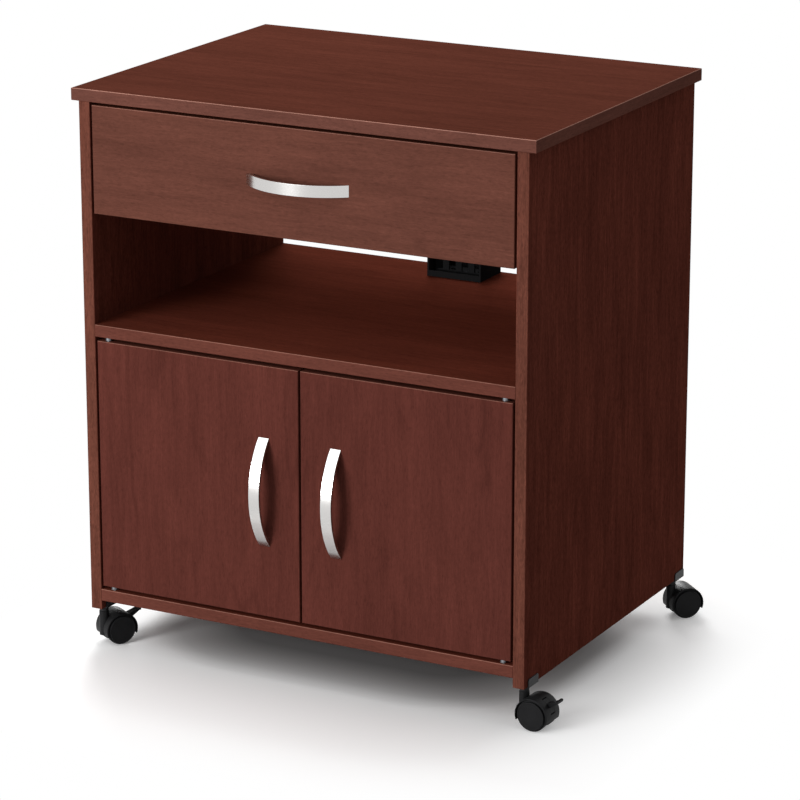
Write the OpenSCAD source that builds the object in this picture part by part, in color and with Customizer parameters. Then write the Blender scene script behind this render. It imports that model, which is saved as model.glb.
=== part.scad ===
// Rolling printer cart: a laminated board cabinet with a drawer, an open bay, two doors and four casters.
// +Z is up, the front faces -Y, and the origin is on the floor under the middle of the top.

/* [Boards] */
// Width of the top, left to right
top_w = 648; // [600:1:700]
// Depth of the top, front to back
top_d = 484; // [460:1:540]
// Floor to the upper face of the top
cart_h = 744; // [720:1:800]
// Thickness of the boards
board_t = 16; // [15:0.5:19]
// How far the top stands out past each side
side_overhang = 9.5; // [4:0.5:14]
// How far the top stands out past the front
front_overhang = 2; // [0:0.5:8]
// How far the sides reach below the bottom board
skirt_h = 12; // [11:0.5:20]
// Thickness of the hardboard back and drawer bottom
hardboard_t = 3; // [2.5:0.5:4]
// Depth of the grooves that hold hardboard
groove_d = 6; // [4:0.5:7]
// Distance from the back edge to the back panel's groove
back_inset = 9; // [6:1:14]
// Height of the rail behind the drawer
rail_h = 100; // [70:1:110]
// Radius of the boards' eased edges
edge_r = 1; // [0.5:0.1:2]

/* [Bays] */
// Height of the drawer front
drawer_front_h = 139.5; // [130:0.5:150]
// Gap between the top and the drawer front
drawer_gap = 4; // [3:0.5:6]
// Height of the open bay under the drawer front
niche_h = 145.5; // [120:0.5:160]
// Gap beside the drawer front and between and beside the doors
face_gap = 3; // [2.5:0.5:4]
// Gap above and below the doors
door_gap = 5; // [4:0.5:7]

/* [Loose shelf] */
// How far the loose shelf stands back from the doors
shelf_setback = 30; // [26:1:80]
// Gap at each end of the loose shelf
shelf_end_gap = 1; // [0.5:0.5:2]
// Height of the loose shelf's underside above the bottom board
loose_shelf_z = 160; // [120:1:200]
// Spacing of the shelf pin holes, up and down
pin_pitch = 32; // [20:1:32]
// Diameter of a shelf pin
pin_d = 5; // [4:0.5:6]
// Distance from the shelf's front and back edge to the pins
pin_inset = 60; // [40:1:90]

/* [Joints between boards] */
// Diameter of a cam lock
cam_d = 15; // [14:0.5:16]
// Depth of a cam lock
cam_depth = 12; // [11:0.5:12.5]
// Board edge to the middle of the cam lock
cam_reach = 34; // [30:1:38]
// Diameter of a cam bolt's shank
bolt_d = 6; // [5:0.5:6.5]
// Diameter of a wooden dowel
dowel_d = 8; // [6:0.5:8]
// Length of a wooden dowel
dowel_len = 30; // [26:1:34]
// Depth of the screw and dowel holes in a board's face
face_hole = 11; // [9:0.5:11.5]

/* [Drawer] */
// Thickness of the drawer box's sides and back
box_t = 12; // [10:0.5:14]
// Height of the drawer box
box_h = 96; // [80:1:100]
// Length of the drawer box behind the front
box_len = 400; // [370:1:400]
// Height of the box above the drawer front's lower edge
box_lift = 14; // [10:0.5:18]
// Height of the drawer bottom above the box's lower edge
box_floor = 9; // [6:0.5:14]
// How far the drawer pulls out
drawer_travel = 300; // [240:5:310]

/* [Slides] */
// Room for a slide on each side of the drawer
slide_gap = 12.5; // [12.5:0.5:14]
// Thickness of the slides' sheet steel
slide_t = 1.2; // [1:0.1:1.4]
// Diameter of a slide's roller
roller_d = 18; // [16:0.5:19]
// Diameter of a roller's pin
roller_pin_d = 5; // [4:0.5:6]

/* [Pulls] */
// Length of a pull, end to end
pull_len = 144; // [138:1:156]
// How far a pull's bow stands out
pull_out = 27; // [24:0.5:32]
// Width of a pull's strap
pull_w = 15; // [12:0.5:18]
// Thickness of a pull's strap
pull_t = 4; // [3:0.5:4.5]
// Distance between a pull's two screws
pull_pitch = 128; // [124:1:129]
// Diameter of a pull's screws
pull_screw_d = 4; // [3:0.5:4]
// Middle of a door's pull to the gap between the doors
pull_from_gap = 50; // [34:1:80]

/* [Door pivots] */
// Distance from a door's outer edge to its pivot
pivot_inset = 13; // [12:0.5:15]
// Diameter of a pivot's pin
pivot_d = 5; // [4:0.5:6]
// Diameter of a pivot's collar and bushing
pivot_collar_d = 9; // [8:0.5:10]
// Depth of a pivot in the door, and of its bushing in the board
pivot_depth = 11; // [9:0.5:12]
// Width of a magnetic catch and its strike plate
catch_w = 32; // [26:1:40]

/* [Cable comb] */
// Width of the comb
comb_w = 80; // [76:1:96]
// Depth of the comb, front to back
comb_d = 60; // [50:1:80]
// Height of the comb's lip
lip_h = 8; // [6:0.5:12]
// Height of the comb's fingers
finger_h = 30; // [24:1:40]
// Width of a slot between two fingers
slot_w = 10; // [8:0.5:11]
// Number of slots
slots = 4; // [3:1:4]
// Thickness of the comb's walls
comb_t = 2.5; // [2:0.5:3]
// Distance from the lip's front to the fingers
finger_back = 14; // [12:1:20]
// Distance from the comb to the shelf's back edge
comb_inset = 4; // [2:1:10]

/* [Casters] */
// Diameter of a wheel
wheel_d = 41; // [38:0.5:42]
// Width of one wheel
wheel_w = 11; // [10:0.5:13]
// Width of the hood's middle body
body_w = 13; // [13:0.5:15]
// Distance from the swivel's axis to the wheels' axle
trail = 18; // [17:0.5:21]
// Thickness of the hood's shell
hood_t = 1.2; // [1:0.1:1.6]
// Floor to the lower edge of the sides
caster_h = 54; // [54:0.5:62]
// Diameter of the swivel's stem
stem_d = 8; // [6:0.5:8]
// Diameter of the collar above the hood
collar_d = 12; // [11:0.5:13]
// Diameter of the wheels' axle
axle_d = 6; // [5:0.5:7]
// Front edge of a side to the front casters' swivel
front_caster_inset = 17.5; // [12:0.5:40]
// Back edge of a side to the rear casters' swivel
rear_caster_inset = 21; // [21:0.5:50]
// Thickness of a caster bracket
bracket_t = 1.6; // [1.2:0.2:2]
// Length of a caster bracket
bracket_len = 28; // [24:1:40]
// Height of a bracket's tabs
tab_h = 10; // [7:0.5:10.5]
// How far a brake pedal reaches past the axle
pedal_reach = 32.5; // [31:0.5:36]

/* [Hidden] */
$fn = 48;

// Clearances: a running fit, a loose seat, and how far a cut runs past a face
run = 0.05;
seat = 0.1;
past = 1;

// Colours of the finishes
cherry = [0.33, 0.15, 0.12];
nickel = [0.78, 0.78, 0.79];
zinc = [0.62, 0.63, 0.65];
plastic = [0.13, 0.13, 0.14];

// Faces of the cabinet
x_out = top_w / 2 - side_overhang;
x_in = x_out - board_t;
y_front = -top_d / 2 + front_overhang;
y_back = top_d / 2;
y_behind = y_front + board_t;
z_under = cart_h - board_t;
z_bottom = caster_h + skirt_h;
z_floor = z_bottom + board_t;
z_drawer = z_under - drawer_gap - drawer_front_h;
z_shelf = z_drawer - niche_h;
z_ceiling = z_shelf - board_t;

// Doors
door_w = x_in - face_gap * 1.5;
door_z = z_floor + door_gap;
door_h = z_ceiling - door_gap - door_z;
door_mid = door_z + door_h / 2;
pivot_x = face_gap / 2 + door_w - pivot_inset;
pivot_y = y_front + board_t / 2;
pivot_shank_d = pivot_collar_d - 1;
collar_h = door_gap - 2 * seat;

// Drawer box
box_x = x_in - slide_gap;
box_z = z_drawer + box_lift;
box_y = y_behind;
bottom_z = box_z + box_floor;
groove_t = hardboard_t + 2 * seat;

// Loose shelf and its pins
loose_z = z_floor + loose_shelf_z;
loose_y0 = y_behind + shelf_setback;
loose_y1 = y_back - back_inset - groove_t - past;
pin_ys = [loose_y0 + pin_inset, loose_y1 - pin_inset];
pin_len = 8;
pin_pad = [8, 10, 2.5];
pin_z = loose_z - pin_pad.z - pin_d / 2;

// Places of the cams and dowels along the boards' edges
cam_from = [50, 60];
dowel_step = 40;
cam_ys = [y_front + cam_from[0], y_back - cam_from[1]];
dowel_ys = [cam_ys[0] + dowel_step, cam_ys[1] - dowel_step];
rail_zs = [z_under - rail_h * 0.25, z_under - rail_h * 0.75];
rail_y = y_back - board_t / 2;

// Pull: an arc with its ends on the face
pull_r = (pow(pull_len / 2, 2) + pow(pull_out, 2)) / (2 * pull_out);
pull_hole_d = pull_screw_d + 0.5;
pull_head_h = 2.4;
pull_foot = 12;
pull_chamfer = 0.6;
foot_h = sqrt(pow(pull_r, 2) - pow(pull_pitch / 2, 2)) - (pull_r - pull_out);
screw_bite = foot_h - 1.8;
pull_x = face_gap / 2 + pull_from_gap;
drawer_mid = z_drawer + drawer_front_h / 2;

// Catches
catch_h = 16;
catch_d = 18;
strike_h = 13;
catch_x = face_gap / 2 + 12 + catch_w / 2;
strike_t = 1;
strike_drop = 2;
magnet_gap = 0.3;
pole_h = 1.2;
pole_inset = 3;

// Comb
comb_y1 = y_back - comb_inset;
comb_y0 = comb_y1 - comb_d;
finger_y = comb_y0 + finger_back;
finger_t = 3;
end_post = 6.5;
comb_corner = 5;
finger_w = (comb_w - 2 * end_post - slots * slot_w) / (slots - 1);
finger_xs = [for (i = [1:slots - 1]) -comb_w / 2 + end_post + i * (slot_w + finger_w) - finger_w / 2];
comb_screw_d = 3.5;
comb_screw_xs = [-comb_w / 4, comb_w / 4];
comb_screw_y = (finger_y + finger_t + comb_y1) / 2;
comb_screw_len = 12;
comb_head_h = 2;

// Length and width of the arms of the screws' cross
drive = 4;
drive_w = 1;

// Slides, measured inwards from the side and up from the box's lower edge
rail_len = box_len;
flange_w = slide_gap - slide_t - 1.8;
channel_h = roller_d + 6;
channel_z = box_z + 1;
roller_rest = 0.15;
rider_z = channel_z + roller_d + 3 * roller_rest;
rail_roller_z = rider_z - roller_rest - roller_d / 2;
runner_roller_z = channel_z + roller_rest + roller_d / 2;
rider_w = flange_w - 0.2;
roller_w = slide_gap - 2 * slide_t - 1.9;
roller_play = 0.35;
rivet_h = 0.5;
rivet_d = roller_pin_d + 3;
rail_y0 = y_behind + 2;
rail_roller_y = rail_y0 + roller_d / 2 + 3;
runner_roller_y = box_y + box_len - roller_d / 2 - 3;
runner_leg = box_t - 2;
stop_y = runner_roller_y - drawer_travel - roller_d / 2 - 0.5;
stop_h = 5;

// Casters, in each caster's own frame: swivel axis at x = 0, axle at x = trail
hub_z = wheel_d / 2;
wheel_gap = body_w + 1;
caster_w = wheel_gap + 2 * wheel_w;
hood_clear = 0.8;
hood_r = wheel_d / 2 + hood_clear + hood_t;
hood_w = caster_w - 1;
hood_drop = 7.5;
rim_c = 0.8;
boss_top = caster_h - bracket_t - 6.2;
stem_end = hub_z + 3;
wheel_bore = wheel_w - 2;
hub_d = axle_d + 12;
pedal_w = 10;
pedal_slot = pedal_w + 0.6;
pedal_pin_d = 3;
pedal_pivot = [12, 12];
pedal_boss_r = 4;
pedal_t = 2;
pedal_from = 10;
pedal_to = 62;
pedal_gap = 4;
pedal_swing = 16;
bar_w = 14;
bar_z = [19, 22];
bracket_front = 8;

// Swivel places and the way each caster points, counted from +X
caster_x = x_out - board_t / 2;
front_y = y_front + front_caster_inset;
rear_y = y_back - rear_caster_inset;
front_left = [-caster_x, front_y, 58.7];
front_right = [caster_x, front_y, -2.4];
rear_left = [-caster_x, rear_y, 180];
rear_right = [caster_x, rear_y, 47.5];

// Small helpers

// Box from one corner to the other
module block(a, b) {
  translate(a) cube(b - a);
}

// Cylinder along X, from x0 to x1
module rod_x(d, x0, x1, y, z) {
  translate([min(x0, x1), y, z]) rotate([0, 90, 0]) cylinder(d = d, h = abs(x1 - x0));
}

// Cylinder along Y, from y0 to y1
module rod_y(d, y0, y1, x, z) {
  translate([x, max(y0, y1), z]) rotate([90, 0, 0]) cylinder(d = d, h = abs(y1 - y0));
}

// Cylinder along Z, from z0 to z1
module rod_z(d, z0, z1, x, y) {
  translate([x, y, min(z0, z1)]) cylinder(d = d, h = abs(z1 - z0));
}

// Flat rectangle from one corner to the other with round corners
module soft_rect(a, b) {
  r = edge_r;
  translate([a.x + r, a.y]) square([b.x - a.x - 2 * r, b.y - a.y]);
  translate([a.x, a.y + r]) square([b.x - a.x, b.y - a.y - 2 * r]);
  for (x = [a.x + r, b.x - r], y = [a.y + r, b.y - r]) translate([x, y]) circle(r = r, $fn = 32);
}

// Box with the edges along X eased
module soft_x(a, b) {
  translate([a.x, 0, 0]) rotate([90, 0, 90]) linear_extrude(b.x - a.x) soft_rect([a.y, a.z], [b.y, b.z]);
}

// Box with the edges along Y eased
module soft_y(a, b) {
  translate([0, b.y, 0]) rotate([90, 0, 0]) linear_extrude(b.y - a.y) soft_rect([a.x, a.z], [b.x, b.z]);
}

// Box with the edges along Z eased
module soft_z(a, b) {
  translate([0, 0, a.z]) linear_extrude(b.z - a.z) soft_rect([a.x, a.y], [b.x, b.y]);
}

// Door or drawer front, eased all round on both faces
module soft_face(a, b) {
  intersection() {
    soft_x(a, b);
    soft_z(a, b);
  }
}

// Copies its children to the left and the right half
module both_sides() {
  children();
  mirror([1, 0, 0]) children();
}

// Places a child in the frame of one caster
module at_caster(c) {
  translate([c.x, c.y, 0]) rotate(c.z) children();
}

// Flat wedge of a disc between two angles
module sector(r, from, to) {
  steps = 12;
  reach = r * 1.2;
  intersection() {
    circle(r = r, $fn = 96);
    polygon(concat([[0, 0]], [for (i = [0:steps])
      let (a = from + (to - from) * i / steps) reach * [cos(a), sin(a)]]));
  }
}

// Joints between boards. Each is drawn with the meeting plane at z = 0: the screw end lies
// below it in the face of one board, and the rest above it in the edge of the other.

// Cam lock, its face at z = 0 and the bolt coming in along +X
module cam_lock() {
  difference() {
    translate([0, 0, -cam_depth]) cylinder(d = cam_d, h = cam_depth);
    translate([-cam_d / 5, 0, -board_t / 2]) rotate([0, 90, 0]) cylinder(d = bolt_d + 0.8, h = cam_d);
    for (a = [0, 90]) rotate(a) translate([-4, -0.7, -1.5]) cube([8, 1.4, 1.5 + past]);
  }
}

// Pocket in a board's face for a cam lock
module cam_pocket() {
  translate([0, 0, -cam_depth - seat]) cylinder(d = cam_d + 2 * seat, h = cam_depth + seat + past);
}

// Cam bolt: screw end, shank, neck and head
module cam_bolt() {
  head_h = 3;
  neck_h = 4;
  translate([0, 0, seat - face_hole]) cylinder(d = bolt_d - 1, h = face_hole);
  cylinder(d = bolt_d, h = cam_reach - head_h - neck_h);
  translate([0, 0, cam_reach - head_h - neck_h]) cylinder(d = bolt_d - 2, h = neck_h);
  translate([0, 0, cam_reach - head_h]) cylinder(d = bolt_d, h = head_h);
}

// Screw hole in a face
module bolt_face_cut() {
  translate([0, 0, -face_hole]) cylinder(d = bolt_d - 1 + 2 * run, h = face_hole + past);
}

// Long hole in an edge for a bolt
module bolt_edge_cut() {
  translate([0, 0, -past]) cylinder(d = bolt_d + 4 * seat, h = cam_reach + past);
}

// Dowel across the meeting plane
module dowel() {
  translate([0, 0, seat - face_hole]) cylinder(d = dowel_d, h = dowel_len);
}

// Hole for a dowel on both sides of the meeting plane
module dowel_cut() {
  translate([0, 0, -face_hole]) cylinder(d = dowel_d + 2 * run, h = dowel_len + 2 * seat);
}

// Places on the right half, each turned so that +Z runs into the board with the edge hole
module under_top(ys) {
  for (y = ys) translate([x_out - board_t / 2, y, z_under]) rotate([180, 0, 0]) children();
}

module beside_board(ys, z) {
  for (y = ys) translate([x_in, y, z]) rotate([0, -90, 0]) children();
}

module beside_rail() {
  for (z = rail_zs) translate([x_in, rail_y, z]) rotate([0, -90, 0]) children();
}

// Places of the cam locks on the right half
module side_cams() {
  for (y = cam_ys) translate([x_in, y, z_under - cam_reach]) rotate([0, -90, 0]) children();
}

module board_cams(z) {
  for (y = cam_ys) translate([x_in - cam_reach, y, z]) rotate([180, 0, 0]) children();
}

module rail_cams() {
  for (z = rail_zs) translate([x_in - cam_reach, y_back - board_t, z]) rotate([90, 0, 0]) children();
}

// Middles of the two level boards that join the sides
level_zs = [z_bottom + board_t / 2, z_ceiling + board_t / 2];

module cam_locks() {
  color(zinc) both_sides() {
    side_cams() cam_lock();
    board_cams(z_bottom) cam_lock();
    board_cams(z_ceiling) cam_lock();
    rail_cams() cam_lock();
  }
}

module cam_bolts() {
  color(zinc) both_sides() {
    under_top(cam_ys) cam_bolt();
    for (z = level_zs) beside_board(cam_ys, z) cam_bolt();
    beside_rail() cam_bolt();
  }
}

module wood_dowels() {
  color([0.8, 0.65, 0.45]) both_sides() {
    under_top(dowel_ys) dowel();
    for (z = level_zs) beside_board(dowel_ys, z) dowel();
  }
}

// Cabinet boards

module top_panel() {
  color(cherry) difference() {
    intersection() {
      soft_x([-top_w / 2, -top_d / 2, z_under], [top_w / 2, top_d / 2, cart_h]);
      soft_y([-top_w / 2, -top_d / 2, z_under], [top_w / 2, top_d / 2, cart_h]);
    }
    both_sides() {
      under_top(cam_ys) bolt_face_cut();
      under_top(dowel_ys) dowel_cut();
    }
  }
}

// Groove for the back panel, as a box between two heights and out to x
module back_groove(x, z0, z1) {
  block([-x, y_back - back_inset - groove_t, z0], [x, y_back - back_inset, z1]);
}

// Row of holes for the loose shelf's pins
module pin_holes() {
  for (y = pin_ys, k = [-2:2])
    rod_x(pin_d + 2 * run, x_in - past, x_in + pin_len + seat, y, pin_z + k * pin_pitch);
}

module side_panel() {
  color(cherry) difference() {
    intersection() {
      soft_z([x_in, y_front, caster_h], [x_out, y_back + board_t, z_under]);
      block([x_in, y_front, caster_h], [x_out, y_back, z_under]);
    }
    under_top(cam_ys) bolt_edge_cut();
    under_top(dowel_ys) dowel_cut();
    side_cams() cam_pocket();
    for (z = level_zs) {
      beside_board(cam_ys, z) bolt_face_cut();
      beside_board(dowel_ys, z) dowel_cut();
    }
    beside_rail() bolt_face_cut();
    back_groove(x_in + groove_d, z_floor - groove_d, z_ceiling + groove_d);
    pin_holes();
  }
}

// Level board between the sides, with its cams in the lower face
module level_board(z) {
  difference() {
    intersection() {
      soft_x([-x_in, y_front, z], [x_in, y_back + board_t, z + board_t]);
      block([-x_in, y_front, z], [x_in, y_back, z + board_t]);
    }
    both_sides() {
      beside_board(cam_ys, z + board_t / 2) bolt_edge_cut();
      beside_board(dowel_ys, z + board_t / 2) dowel_cut();
      board_cams(z) cam_pocket();
    }
    back_groove(x_in + past, z_floor - groove_d, z_ceiling + groove_d);
    both_sides() for (z = [z_floor - pivot_depth, z_ceiling - past])
      rod_z(pivot_collar_d + 2 * run, z, z + pivot_depth + past, pivot_x, pivot_y);
  }
}

module bottom_panel() {
  color(cherry) level_board(z_bottom);
}

module fixed_shelf() {
  color(cherry) difference() {
    level_board(z_ceiling);
    for (x = comb_screw_xs)
      rod_z(comb_screw_d + 2 * run, z_shelf - comb_screw_len, z_shelf + past, x, comb_screw_y);
  }
}

module back_rail() {
  color(cherry) difference() {
    block([-x_in, y_back - board_t, z_under - rail_h], [x_in, y_back, z_under]);
    both_sides() {
      beside_rail() bolt_edge_cut();
      rail_cams() cam_pocket();
    }
  }
}

module back_panel() {
  color([0.25, 0.13, 0.1]) {
    y0 = y_back - back_inset - groove_t + seat;
    edge = groove_d - 5 * seat;
    block([-x_in - edge, y0, z_floor - edge], [x_in + edge, y0 + hardboard_t, z_ceiling + edge]);
  }
}

module adjustable_shelf() {
  x = x_in - shelf_end_gap;
  color(cherry) intersection() {
    soft_x([-x, loose_y0, loose_z], [x, loose_y1 + board_t, loose_z + board_t]);
    block([-x, loose_y0, loose_z], [x, loose_y1, loose_z + board_t]);
  }
}

module shelf_pins() {
  color(zinc) both_sides() for (y = pin_ys) {
    rod_x(pin_d, x_in - pin_pad.x, x_in + pin_len, y, pin_z);
    rod_x(pin_d + 3, x_in - 1.5, x_in, y, pin_z);
    block([x_in - pin_pad.x, y - pin_pad.y / 2, pin_z], [x_in, y + pin_pad.y / 2, loose_z]);
  }
}

// Cable comb at the shelf's back edge

// Finger: a flat tongue with a round tip
module finger(x) {
  r = finger_w / 2;
  translate([x, finger_y + finger_t, z_shelf]) rotate([90, 0, 0]) linear_extrude(finger_t) {
    translate([-r, 0]) square([finger_w, finger_h - r]);
    translate([0, finger_h - r]) circle(r = r);
  }
}

// End wall on the right: its profile has rounded upper corners, and a post stands in line with the fingers
module comb_end() {
  r = comb_corner;
  translate([comb_w / 2 - comb_t, 0, z_shelf]) rotate([90, 0, 90]) linear_extrude(comb_t) {
    translate([comb_y0, 0]) square([comb_d, finger_h - r]);
    translate([comb_y0 + r, 0]) square([comb_d - 2 * r, finger_h]);
    for (y = [comb_y0 + r, comb_y1 - r]) translate([y, finger_h - r]) circle(r = r);
  }
  block([comb_w / 2 - end_post, finger_y, z_shelf],
        [comb_w / 2, finger_y + finger_t, z_shelf + finger_h - r]);
}

module cable_comb() {
  half = comb_w / 2;
  color(plastic) difference() {
    union() {
      block([-half, comb_y0, z_shelf], [half, comb_y1, z_shelf + comb_t]);
      block([-half, comb_y0, z_shelf], [half, comb_y0 + comb_t, z_shelf + lip_h]);
      block([-half, comb_y1 - comb_t, z_shelf], [half, comb_y1, z_shelf + lip_h]);
      block([-half, finger_y, z_shelf], [half, finger_y + finger_t, z_shelf + lip_h]);
      for (x = finger_xs) finger(x);
      both_sides() comb_end();
    }
    for (x = comb_screw_xs)
      rod_z(comb_screw_d + 4 * seat, z_shelf - past, z_shelf + comb_t + past, x, comb_screw_y);
  }
}

module comb_screws() {
  color(zinc) for (x = comb_screw_xs) {
    rod_z(comb_screw_d, z_shelf + seat - comb_screw_len, z_shelf + comb_t, x, comb_screw_y);
    difference() {
      rod_z(2 * comb_screw_d, z_shelf + comb_t, z_shelf + comb_t + comb_head_h, x, comb_screw_y);
      for (a = [0, 90]) translate([x, comb_screw_y, z_shelf + comb_t + comb_head_h / 2]) rotate(a)
        translate([-drive / 2, -drive_w / 2, 0]) cube([drive, drive_w, comb_head_h]);
    }
  }
}

// Doors, drawn on the right and mirrored for the left

module door() {
  x0 = face_gap / 2;
  color(cherry) difference() {
    soft_face([x0, y_front, door_z], [x0 + door_w, y_behind, door_z + door_h]);
    for (z = [door_z - past, door_z + door_h - pivot_depth])
      rod_z(pivot_shank_d + 2 * run, z, z + pivot_depth + past, pivot_x, pivot_y);
    for (s = [-1, 1])
      rod_y(pull_hole_d, y_front - past, y_behind + past, pull_x, door_mid + s * pull_pitch / 2);
  }
}

// Pivot above a plane at z = 0: pin above, collar, and shank below in the door
module pivot() {
  translate([0, 0, seat - pivot_depth]) cylinder(d = pivot_shank_d, h = pivot_depth - seat);
  cylinder(d = pivot_collar_d, h = collar_h);
  translate([0, 0, collar_h]) cylinder(d = pivot_d, h = pivot_depth - past);
}

module door_pivots() {
  color(zinc) {
    translate([pivot_x, pivot_y, door_z + door_h]) pivot();
    translate([pivot_x, pivot_y, door_z]) rotate([180, 0, 0]) pivot();
  }
}

module pivot_bushings() {
  color("white") both_sides() for (z = [z_floor - pivot_depth + seat, z_ceiling])
    translate([pivot_x, pivot_y, z]) difference() {
      cylinder(d = pivot_collar_d, h = pivot_depth - seat);
      translate([0, 0, -past]) cylinder(d = pivot_d + 2 * run, h = pivot_depth + 2 * past);
    }
}

// Magnetic catches under the shelf, with their two pole slots
module magnet_catches() {
  y0 = y_behind + strike_t + magnet_gap;
  color("saddlebrown") both_sides() difference() {
    block([catch_x - catch_w / 2, y0, z_ceiling - catch_h], [catch_x + catch_w / 2, y0 + catch_d, z_ceiling]);
    for (s = [-1, 1]) translate([catch_x, 0, z_ceiling - catch_h / 2 + s * catch_h / 5])
      block([pole_inset - catch_w / 2, y0 - past, -pole_h / 2],
            [catch_w / 2 - pole_inset, y0 + 1, pole_h / 2]);
  }
}

module strike_plate() {
  z1 = door_z + door_h - strike_drop;
  color(zinc) block([catch_x - catch_w / 2, y_behind, z1 - strike_h],
                    [catch_x + catch_w / 2, y_behind + strike_t, z1]);
}

// Pulls: a bow along X that stands out along +Y from y = 0

// Ring with chamfered edges that the bow and its feet are cut from
module pull_ring(depth) {
  c = pull_chamfer;
  r0 = pull_r - depth;
  h = pull_w / 2;
  translate([0, pull_out - pull_r, 0]) rotate_extrude($fn = 180)
    polygon([[r0, c - h], [r0 + c, -h], [pull_r - c, -h], [pull_r, c - h],
             [pull_r, h - c], [pull_r - c, h], [r0 + c, h], [r0, h - c]]);
}

module pull() {
  half = pull_len / 2;
  color(nickel) difference() {
    union() {
      intersection() {
        pull_ring(pull_t);
        block([-half - past, 0, -pull_w], [half + past, pull_out + past, pull_w]);
      }
      for (s = [-1, 1]) intersection() {
        pull_ring(pull_t * 3);
        block([s * half - pull_foot - (s < 0 ? past : 0) + (s < 0 ? pull_foot : 0), 0, -pull_w],
              [s * half + (s > 0 ? past : pull_foot), foot_h + pull_t, pull_w]);
      }
    }
    for (s = [-1, 1]) rod_y(pull_screw_d + 2 * run, -past, screw_bite + seat, s * pull_pitch / 2, 0);
  }
}

// The two screws of one pull, through a board of board_t
module pull_screws() {
  color(zinc) for (s = [-1, 1]) {
    rod_y(pull_screw_d, -board_t, screw_bite, s * pull_pitch / 2, 0);
    difference() {
      rod_y(2 * pull_screw_d, -board_t - pull_head_h, -board_t, s * pull_pitch / 2, 0);
      for (a = [0, 90]) translate([s * pull_pitch / 2, -board_t - pull_head_h, 0]) rotate([0, a, 0])
        translate([-drive / 2, -past, -drive_w / 2]) cube([drive, pull_head_h / 2 + past, drive_w]);
    }
  }
}

// Turns a pull's +Y to the front and sets it level on the drawer or upright on the right door
module on_drawer() {
  translate([0, y_front, drawer_mid]) mirror([0, 1, 0]) children();
}

module on_door() {
  translate([pull_x, y_front, door_mid]) rotate([0, -90, 0]) mirror([0, 1, 0]) children();
}

// Drawer

module drawer_front() {
  half = x_in - face_gap;
  inner = box_x - box_t + groove_d;
  color(cherry) difference() {
    soft_face([-half, y_front, z_drawer], [half, y_behind, z_drawer + drawer_front_h]);
    block([-inner, y_behind - groove_d, bottom_z - seat],
          [inner, y_behind + past, bottom_z - seat + groove_t]);
    for (s = [-1, 1]) rod_y(pull_hole_d, y_front - past, y_behind + past, s * pull_pitch / 2, drawer_mid);
  }
}

module drawer_side() {
  color("tan") difference() {
    block([box_x - box_t, box_y, box_z], [box_x, box_y + box_len, box_z + box_h]);
    block([box_x - box_t - past, box_y - past, bottom_z - seat],
          [box_x - box_t + groove_d, box_y + box_len + past, bottom_z - seat + groove_t]);
  }
}

module drawer_back() {
  x = box_x - box_t;
  y1 = box_y + box_len;
  color("tan") block([-x, y1 - box_t, bottom_z + hardboard_t], [x, y1, box_z + box_h]);
}

module drawer_bottom() {
  tongue = groove_d - 5 * seat;
  x = box_x - box_t + tongue;
  color("burlywood") block([-x, box_y - tongue, bottom_z], [x, box_y + box_len, bottom_z + hardboard_t]);
}

// Roller slides, drawn on the right. The rail is on the cabinet and the runner on the drawer.
// A stop in the rail catches the runner's roller when the drawer is out.

module slide_rail() {
  y1 = rail_y0 + rail_len;
  x0 = x_in - slide_t;
  x_pin = x0 - roller_w - 2 * roller_play;
  color("white") {
    block([x0, rail_y0, channel_z - slide_t], [x_in, y1, channel_z + channel_h + slide_t]);
    for (z = [channel_z - slide_t, channel_z + channel_h])
      block([x0 - flange_w, rail_y0, z], [x_in, y1, z + slide_t]);
    block([x0 - flange_w, stop_y - slide_t, channel_z], [x0, stop_y, channel_z + stop_h]);
    rod_x(roller_pin_d, x0, x_pin, rail_roller_y, rail_roller_z);
    rod_x(rivet_d, x_pin, x_pin - rivet_h, rail_roller_y, rail_roller_z);
  }
}

module drawer_runner() {
  y0 = box_y + 2;
  y1 = box_y + box_len;
  x1 = box_x + slide_t;
  x_pin = x1 + roller_w + 2 * roller_play;
  color("white") {
    block([box_x, y0, box_z - slide_t], [x1, y1, rider_z + slide_t]);
    block([box_x - runner_leg, y0, box_z - slide_t], [x1, y1, box_z]);
    block([box_x, y0, rider_z], [x1 + rider_w, y1, rider_z + slide_t]);
    rod_x(roller_pin_d, x1, x_pin, runner_roller_y, runner_roller_z);
    rod_x(rivet_d, x_pin, x_pin + rivet_h, runner_roller_y, runner_roller_z);
  }
}

// Roller between two x, with crowned edges
module roller(x0, y, z) {
  r = roller_d / 2;
  b = roller_pin_d / 2 + run;
  c = 0.6;
  color("ivory") translate([x0, y, z]) rotate([0, 90, 0]) rotate_extrude()
    polygon([[b, 0], [r - c, 0], [r, c], [r, roller_w - c], [r - c, roller_w], [b, roller_w]]);
}

module rail_roller() {
  roller(x_in - slide_t - roller_w - roller_play, rail_roller_y, rail_roller_z);
}

module runner_roller() {
  roller(box_x + slide_t + roller_play, runner_roller_y, runner_roller_z);
}

// Casters, each in its own frame: swivel axis at x = 0, trailing along +X, axle along Y

// Brackets that straddle the sides' lower edges, each with its collar and stem
module caster_brackets() {
  color([0.35, 0.35, 0.37]) for (c = [front_left, front_right, rear_left, rear_right])
    translate([c.x, c.y, 0]) bracket();
}

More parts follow.
